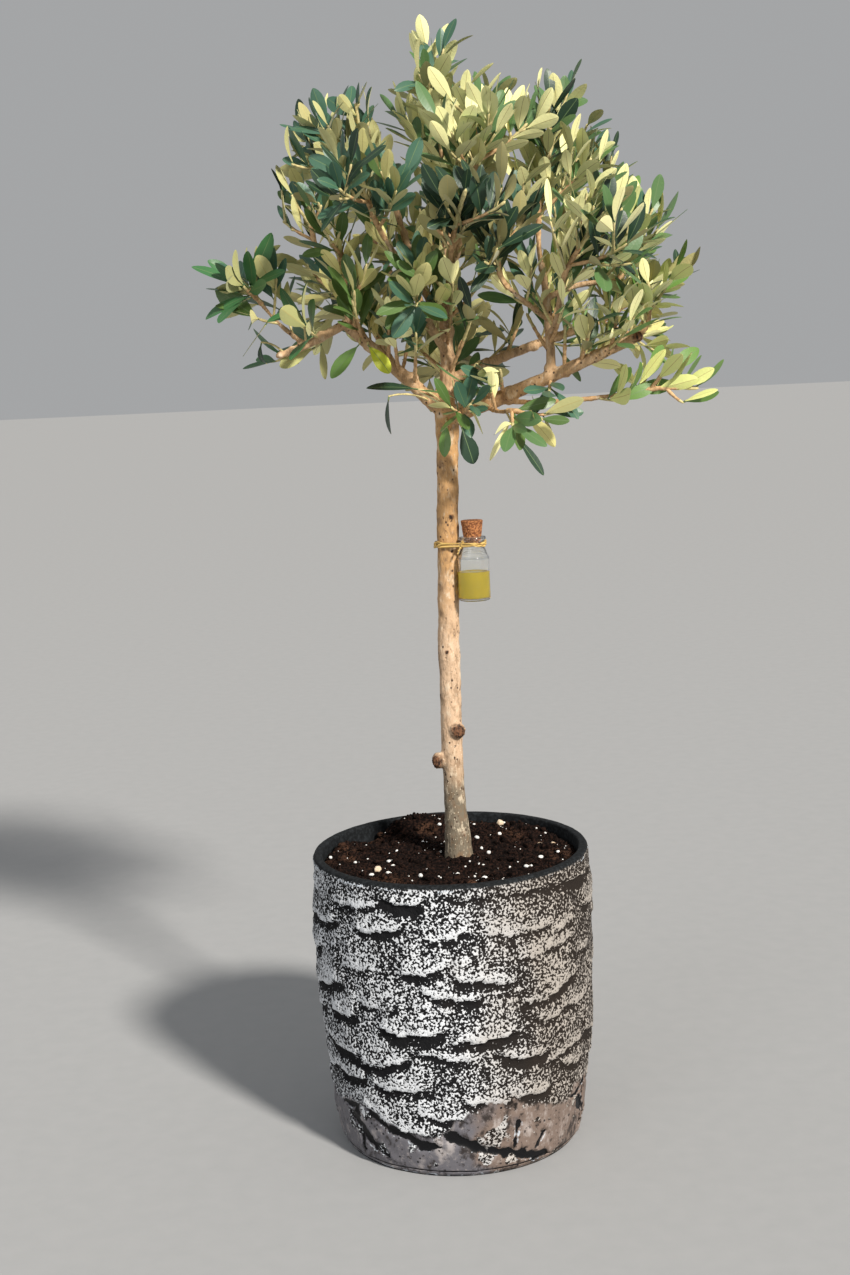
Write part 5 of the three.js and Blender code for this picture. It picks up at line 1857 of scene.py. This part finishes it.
    def placed(
        self, place: Vector, heading: Vector, along: Vector, size: float, shape: Sequence[float], tint: Tint
    ) -> Leaf:
        """Sets a leaf on its twig, with its face towards the light.

        Args:
            place: Where it is fixed.
            heading: The twig's direction there.
            along: The leaf's own direction.
            size: Its size beside the usual one.
            shape: Its curl, fold, twist, breadth and roll, and how far it faces outwards.
            tint: Its tint.

        Returns:
            The leaf.
        """
        curl, fold, twist, broad, roll, seeking = shape
        away = Vector((place.x - self.axis[0], place.y - self.axis[1], 0.0)).normalized()
        face = heading * self.along_pull + UP * self.up_pull + away * seeking
        side = face.cross(along).normalized()
        side = turned(side, along.cross(side), roll)
        length, width = self.leaf_length * size, self.leaf_width * size * broad
        return Leaf(place, along, side, length, width, curl, fold, twist, tint)

    def twig_mesh(self, arrays: MeshArrays, shoot: Shoot) -> None:
        """Adds one twig: a tube with a knob at each pair of leaves, rounded off at its tip."""
        length = shoot.course.length() * shoot.until
        count = max(4, round(length / (self.node_step / 2)))
        angles = [2 * math.pi * k / self.twig_sides for k in range(self.twig_sides)]
        places = []
        for i in range(count + 1):
            share = shoot.until * i / count
            swell = self.node_swell if i % 2 and share > shoot.bare * 0.6 else 1.0
            radius = lerp(*shoot.radii, share) * swell
            side, front = shoot.course.sides(share)
            middle = shoot.course.at(share)
            places += [middle + turned(side, front, angle) * radius for angle in angles]
        end, heading = shoot.course.at(shoot.until), shoot.course.heading(shoot.until)
        places.append(end + heading * shoot.radii[1] * 1.6)
        n, last = self.twig_sides, count * self.twig_sides
        faces = [tuple(reversed(range(n))), *bands(count, count + 1, n)]
        faces += [(last + k, last + (k + 1) % n, last + n) for k in range(n)]
        green = shoot.rank == 2
        numbers = [int(green or row > count * self.tan_share) for row in range(count) for _ in range(n)]
        arrays.add(np.array(places), faces, [0, *numbers, *[1] * n])

    def leaf_meshes(self, arrays: MeshArrays, leaves: Sequence[Leaf]) -> None:
        """Adds leaves, each with the material numbers of its tint."""
        shape = LeafShape()
        faces, kinds = shape.faces()
        tints = list(Tint)
        for leaf in leaves:
            tint = tints.index(leaf.tint)
            numbers = [tint * 2 + kind if kind < 2 else len(tints) * 2 + kind - 2 for kind in kinds]
            arrays.add(shape.corners(leaf), faces, numbers)

    def build(self) -> None:
        """Grows every mass and joins the twigs and the leaves, each kind apart."""
        twigs = MeshArrays()
        halves = {"leaves_front": MeshArrays(), "leaves_rear": MeshArrays()}
        owned = {half: [] for half in halves}
        leaf_count = 0
        grown = [list(self.inner_shoots()), list(self.sprouts())]
        for stem in self.stems:
            inner, sprouts = ([shoot for owner, shoot in kind if owner == stem.number] for kind in grown)
            shoots, leaves = self.grow(stem, inner, sprouts)
            for shoot in shoots:
                self.twig_mesh(twigs, shoot)
            half = "leaves_front" if stem.centre.y < 0 else "leaves_rear"
            owned[half].append(stem.name)
            self.leaf_meshes(halves[half], leaves)
            leaf_count += len(leaves)
        singles = [SingleLeaf(*row) for row in SINGLE_LEAVES]
        for single in singles:
            if single.stalked:
                self.twig_mesh(twigs, single.stalk(self.limbs, self.stalk_radii))
        self.leaf_meshes(halves["leaves_front"], [single.leaf() for single in singles])
        LOG.info("the crown has %d leaves", leaf_count + len(singles))
        piece = twigs.piece("twigs")
        thin = {"size": 0.003, "depth": 0.0004, "roughness": 0.7, "specular": 0.4, "rough": 0.5}
        tan = SpeckFinish("twig_tan", (0.62, 0.4, 0.2), (0.4, 0.23, 0.11), **thin, ends=(0.4, 0.66))
        green = replace(tan, name="twig_green", first=(0.64, 0.54, 0.26), second=(0.45, 0.38, 0.17))
        finish_piece(piece, 60.0, [tan.material(), green.material()])
        materials = leaf_materials()
        for half, blades in halves.items():
            piece = blades.piece(half)
            finish_piece(piece, 50.0, materials, owned[half])


def leaf_materials() -> list[Material]:
    """Mixes the leaves' materials: above and below for each tint, then midrib and vein."""
    colours = {
        Tint.DEEP: ((0.016, 0.043, 0.022), (0.44, 0.4, 0.17)),
        # the tops' blue-green is partly the leaf's own and partly a painted reflection of the sky
        Tint.SKY_SHEEN: ((0.05, 0.125, 0.078), (0.54, 0.52, 0.23)),
        Tint.OLIVE: ((0.075, 0.14, 0.032), (0.74, 0.68, 0.27)),
        # the undersides' pale cream is partly the leaf's own and partly painted sunlight
        Tint.SUNLIT_CREAM: ((0.085, 0.17, 0.058), (0.95, 0.91, 0.44)),
        # partly the leaf's own yellow-green and partly painted light shining through from behind
        Tint.BACKLIT: ((0.12, 0.23, 0.045), (0.75, 0.78, 0.28)),
        Tint.LEAFY: ((0.042, 0.14, 0.045), (0.45, 0.45, 0.18)),
        Tint.YELLOW: ((0.5, 0.55, 0.03), (0.62, 0.6, 0.1)),
    }
    made = []
    for tint in Tint:
        above, below = colours[tint]
        name = tint.value[0]
        made.append(LeafFinish(f"leaf_{name}_above", above, 0.42).material())
        made.append(LeafFinish(f"leaf_{name}_below", below, 0.7, 0.0002, 0.15).material())
    made.append(LeafFinish("leaf_midrib", (0.13, 0.2, 0.08), 0.5).material())
    made.append(LeafFinish("leaf_vein", (0.5, 0.42, 0.16), 0.6).material())
    return made


@dataclass(frozen=True)
class OilBottle:
    """The small corked bottle of oil that hangs at the trunk."""

    place: Place = (0.0303, -0.0094, 0.476)
    radius: float = 0.0136
    shoulder: float = 0.038
    neck_radius: float = 0.0092
    neck_start: float = 0.045
    lip_radius: float = 0.0114
    lip_start: float = 0.051
    height: float = 0.0545
    wall: float = 0.0013
    oil_level: float = 0.025
    cork_radii: Span = (0.0073, 0.0094)
    cork_depth: float = 0.007
    cork_rise: float = 0.0135
    cork_rows: int = 16
    steps: int = 72

    def build(self) -> None:
        """Makes the glass, the oil and the cork."""
        self.glass()
        self.oil()
        self.cork()

    def glass(self) -> None:
        """Turns the bottle's wall, from its foot over the lip and down the inside."""
        inside, bore = self.radius - self.wall, self.neck_radius - self.wall
        profile = [(0, 0.0012), (self.radius * 0.6, 0.0006)]
        profile += arc((self.radius - 0.002, 0.002), 0.002, -90, 0, 5)
        profile += arc((self.radius - 0.004, self.shoulder - 0.002), 0.004, 0, 52, 6)
        profile += arc((self.neck_radius + 0.003, self.neck_start + 0.0015), 0.003, 232, 180, 5)
        profile += [(self.neck_radius, self.lip_start - 0.0006)]
        profile += arc((self.lip_radius - 0.0013, self.lip_start + 0.0015), 0.0013, -80, 60, 6)
        profile += arc((self.lip_radius - 0.0013, self.height - 0.0013), 0.0013, 0, 90, 4)
        profile += [(bore, self.height), (bore, self.neck_start + 0.001)]
        profile += [(bore + 0.0008, self.neck_start - 0.0008), (inside - 0.0016, self.shoulder + 0.0008)]
        profile += arc((inside - 0.003, self.shoulder - 0.003), 0.003, 35, 0, 3)
        profile += [(inside, self.wall + 0.003)]
        profile += arc((inside - 0.0015, self.wall + 0.0021), 0.0015, 0, -90, 3)
        profile += [(0, self.wall + 0.0008)]
        piece = spun("bottle_glass", profile, self.steps, self.place)
        glass = LiquidFinish("clear_glass", (1.0, 1.0, 0.98), 1.5, roughness=0.02, clear=0.985)
        finish_piece(piece, 40.0, [glass.material()], ["bottle"])

    def oil(self) -> None:
        """Turns the oil, which wets the glass and creeps up it a little."""
        radius = self.radius - self.wall + 0.00004
        floor, level = self.wall + 0.00066, self.oil_level
        profile = [(0, floor), (radius - 0.0016, floor)]
        profile += arc((radius - 0.0015, floor + 0.0015), 0.0015, -90, 0, 4)
        profile += [(radius, level), (radius - 0.0005, level - 0.0004), (radius - 0.0014, level - 0.0007)]
        profile += [(0, level - 0.0008)]
        piece = spun("olive_oil", profile, self.steps, self.place)
        oil = LiquidFinish("oil", (1.0, 0.76, 0.0), 1.47, clear=0.7)
        finish_piece(piece, 40.0, [oil.material()], ["oil"])

    def cork(self) -> None:
        """Turns the tapered cork and pits its surface."""
        foot, head = self.cork_radii
        seat, top = self.height + GAP, self.height + GAP + self.cork_rise
        plug = self.neck_radius - self.wall - GAP
        shares = [i / self.cork_rows for i in range(1, self.cork_rows + 1)]
        profile = [(0, self.height - self.cork_depth), (foot, self.height - self.cork_depth), (plug, seat)]
        profile += [(lerp(plug + 0.0001, head, share), lerp(seat, top - 0.0006, share)) for share in shares]
        profile += [(head - 0.0006, top), *((head * share, top) for share in (0.75, 0.5, 0.25, 0))]
        piece = spun("cork_stopper", profile, self.steps, self.place)
        base = Vector(self.place)

        def pitted(corner: Vector) -> Vector:
            """Moves one corner of the cork in where a pit is."""
            away = Vector((corner.x - base.x, corner.y - base.y, 0.0))
            if corner.z - base.z < seat + 0.0004 or away.length < 1e-6:
                return corner
            pit = smoothstep(roughness_at(corner, 0.0024, 3), 0.1, 0.6)
            return corner - away.normalized() * 0.0006 * pit * smoothstep(away.length, 0.002, 0.006)

        reshape(piece, pitted)
        cork = SpeckFinish("cork", (0.14, 0.045, 0.018), (0.46, 0.19, 0.07), 0.0016, 0.0008)
        finish_piece(piece, 50.0, [cork.material()], ["cork"])


@dataclass(frozen=True)
class RaffiaTie:
    """Raffia strands wound round the trunk and the bottle's neck, and knotted between them."""

    level: float = 0.0482
    strands: int = 3
    strand_radius: float = 0.00085
    slack: float = 0.0009
    steps: int = 160
    sides: int = 8
    knot: Place = (0.001, -0.0112, 0.0)
    loop_tilts: Span = (-0.6, 0.5)
    loop_steps: int = 28
    ends: tuple[tuple[Place, float], ...] = (
        ((0.0035, -0.003, 0.0045), 0.004),
        ((-0.004, -0.0025, -0.004), 0.0035),
    )

    def belt(self, angle: float, centres: tuple[Vector, Vector], radii: Span) -> Vector:
        """Gives a point of the belt round two circles, by the direction it faces."""
        axis = (centres[1] - centres[0]).normalized()
        outward = Vector((math.cos(angle), math.sin(angle), 0.0))
        share = smoothstep(outward.dot(axis), -0.12, 0.12)
        radius = lerp(*radii, share)
        return centres[0].lerp(centres[1], share) + outward * radius

    def build(self, limbs: Limbs, bottle: OilBottle) -> None:
        """Winds the strands and the knot, and joins them.

        Args:
            limbs: Every limb by name.
            bottle: The bottle that they hold.
        """
        level = bottle.place[2] + self.level
        course = limbs["trunk"].course
        share = (level - TRUNK_COURSE[0][2]) / (TRUNK_COURSE[-1][2] - TRUNK_COURSE[0][2])
        trunk = course.at(share)
        neck = Vector((bottle.place[0], bottle.place[1], trunk.z))
        arrays, fibres = MeshArrays(), []
        for number in range(self.strands):
            clearance = self.slack + self.strand_radius * (1 + 0.5 * (number % 2))
            radii = (TRUNK_RADIUS + clearance, bottle.neck_radius + clearance)
            points = []
            for i in range(self.steps):
                turn = 2 * math.pi * i / self.steps
                wave = 0.0015 * math.sin(turn + number * 2.1)
                wave += 0.0009 * math.sin(turn * 3 + number * 1.3)
                points.append(self.belt(turn, (trunk, neck), radii) + UP * wave)
            fibres += self.strand(arrays, points, number, closed=True)
        front = trunk.lerp(neck, 0.5) + Vector(self.knot)
        for number, tilt in enumerate(self.loop_tilts):
            slant = Vector((math.cos(tilt), 0.2, math.sin(tilt))) * 0.0011
            ring = []
            for i in range(self.loop_steps):
                turn = 2 * math.pi * i / self.loop_steps
                bow = Vector((0, -0.0016 * math.sin(turn), 0.0027 * math.sin(turn + 0.6)))
                ring.append(front + slant * math.cos(turn) + bow)
            fibres += self.strand(arrays, ring, number + 5, closed=True)
        for number, (reach, droop) in enumerate(self.ends):
            line = [front + Vector(reach) * t - UP * droop * t * t for t in (i / 12 for i in range(13))]
            fibres += self.strand(arrays, line, number + 9, closed=False)
        piece = arrays.piece("raffia_strands")
        mark(piece, "fibre", fibres)
        finish_piece(piece, 60.0, [RaffiaFinish().material()], ["raffia_tie"])

    def strand(self, arrays: MeshArrays, points: Sequence[Vector], seed: int, closed: bool) -> list[float]:
        """Adds one twisted flat strand along some points.

        Args:
            arrays: What it is added to.
            points: The places that it follows.
            seed: What sets its twist apart.
            closed: Whether it meets its own start.

        Returns:
            The fibre mark of each of its corners.
        """
        count, places, fibres = len(points), [], []
        for i, point in enumerate(points):
            ahead = points[(i + 1) % count] if closed or i + 1 < count else point
            behind = points[i - 1] if closed or i else point
            heading = (ahead - behind).normalized()
            side, front = across(heading)
            twist = seed + 2 * math.pi * i / count * (4 if closed else 1)
            for k in range(self.sides):
                turn = 2 * math.pi * k / self.sides
                wide = self.strand_radius * 1.25 * math.cos(turn)
                flat = self.strand_radius * 0.62 * math.sin(turn)
                x = wide * math.cos(twist) - flat * math.sin(twist)
                y = wide * math.sin(twist) + flat * math.cos(twist)
                places.append(point + side * x + front * y)
                fibres.append(0.5 + 0.5 * math.sin(k * 2.4 + seed))
        faces = bands(count if closed else count - 1, count, self.sides)
        if not closed:
            last = (count - 1) * self.sides
            faces += [tuple(reversed(range(self.sides))), tuple(range(last, last + self.sides))]
        arrays.add(np.array(places), faces, [0] * len(faces))
        return fibres


@dataclass(frozen=True)
class Studio:
    """The pale floor, the soft lights and the camera at the photograph's angle."""

    frame_height: int = 1275
    focal_pixels: float = 1741.5
    film: float = 36.0
    pitch: float = math.radians(8.97)
    roll: float = math.radians(2.62)
    yaw: float = math.radians(0.37)
    sky_colour: Colour = (0.62, 0.63, 0.64)
    sky_strength: float = 0.6

    def build(self) -> None:
        """Sets up the floor, the lights, the sky and the camera."""
        self.floor()
        key = {"energy": 5.0, "angle": math.radians(7), "color": (1.0, 0.955, 0.88)}
        self.lamp("key", "SUN", (1.5, -2.2, 1.75), (0.0, 0.0, 0.0), key)
        fill = {"shape": "DISK", "size": 2.4, "energy": 28.0, "color": (0.92, 0.96, 1.0)}
        self.lamp("fill", "AREA", (-2.6, -3.4, 2.2), (0.02, 0.0, 0.5), fill)
        world = bpy.data.worlds.new("soft_sky")
        bpy.context.scene.world = world
        world.use_nodes = True
        sky = world.node_tree.nodes["Background"]
        sky.inputs["Color"].default_value = (*self.sky_colour, 1.0)
        sky.inputs["Strength"].default_value = self.sky_strength
        bpy.context.scene.view_settings.view_transform = "Standard"
        self.camera()

    def floor(self) -> None:
        """Lays a wide pale floor."""
        floor = added(bpy.ops.mesh.primitive_plane_add, size=60.0, location=(0, 0, 0))
        floor.name = "floor"
        mix = Recipe("pale_floor", roughness=0.85, specular=0.2)
        mix.set("Base Color", mix.mix(mix.grain(0.02, 4.0), (0.36, 0.365, 0.37), (0.4, 0.4, 0.405)))
        floor.data.materials.append(mix.material)

    def lamp(self, name: str, kind: str, place: Place, aim: Place, looks: dict[str, object]) -> None:
        """Hangs one light that faces a place.

        Args:
            name: The light's name.
            kind: Its type, such as SUN.
            place: Where it hangs.
            aim: What it faces.
            looks: Its own properties.
        """
        lamp = added(bpy.ops.object.light_add, type=kind, location=place)
        lamp.name = name
        lamp.rotation_euler = (Vector(aim) - Vector(place)).to_track_quat("-Z", "Y").to_euler()
        for look, value in looks.items():
            setattr(lamp.data, look, value)

    def camera(self) -> None:
        """Sets the camera that was fitted to the pot's rim and foot."""
        camera = bpy.data.cameras.new("camera")
        camera.lens = self.focal_pixels / self.frame_height * self.film
        camera.sensor_width = self.film
        seat = bpy.data.objects.new("camera", camera)
        bpy.context.scene.collection.objects.link(seat)
        pose = Matrix.Translation(VIEW_PLACE)
        for angle, axis in ((-self.yaw, "Z"), (math.pi / 2 - self.pitch, "X"), (-self.roll, "Z")):
            pose = pose @ Matrix.Rotation(angle, 4, axis)
        seat.matrix_world = pose
        bpy.context.scene.camera = seat


def main() -> None:
    """Builds every piece in order."""
    logging.basicConfig(level=logging.INFO, format="%(name)s %(message)s")
    limbs = plan_limbs()
    StonePot().build()
    SoilBed().build()
    Framework().build(limbs)
    Crown(limbs).build()
    bottle = OilBottle()
    bottle.build()
    RaffiaTie().build(limbs, bottle)
    Studio().build()


if __name__ == "__main__":
    main()
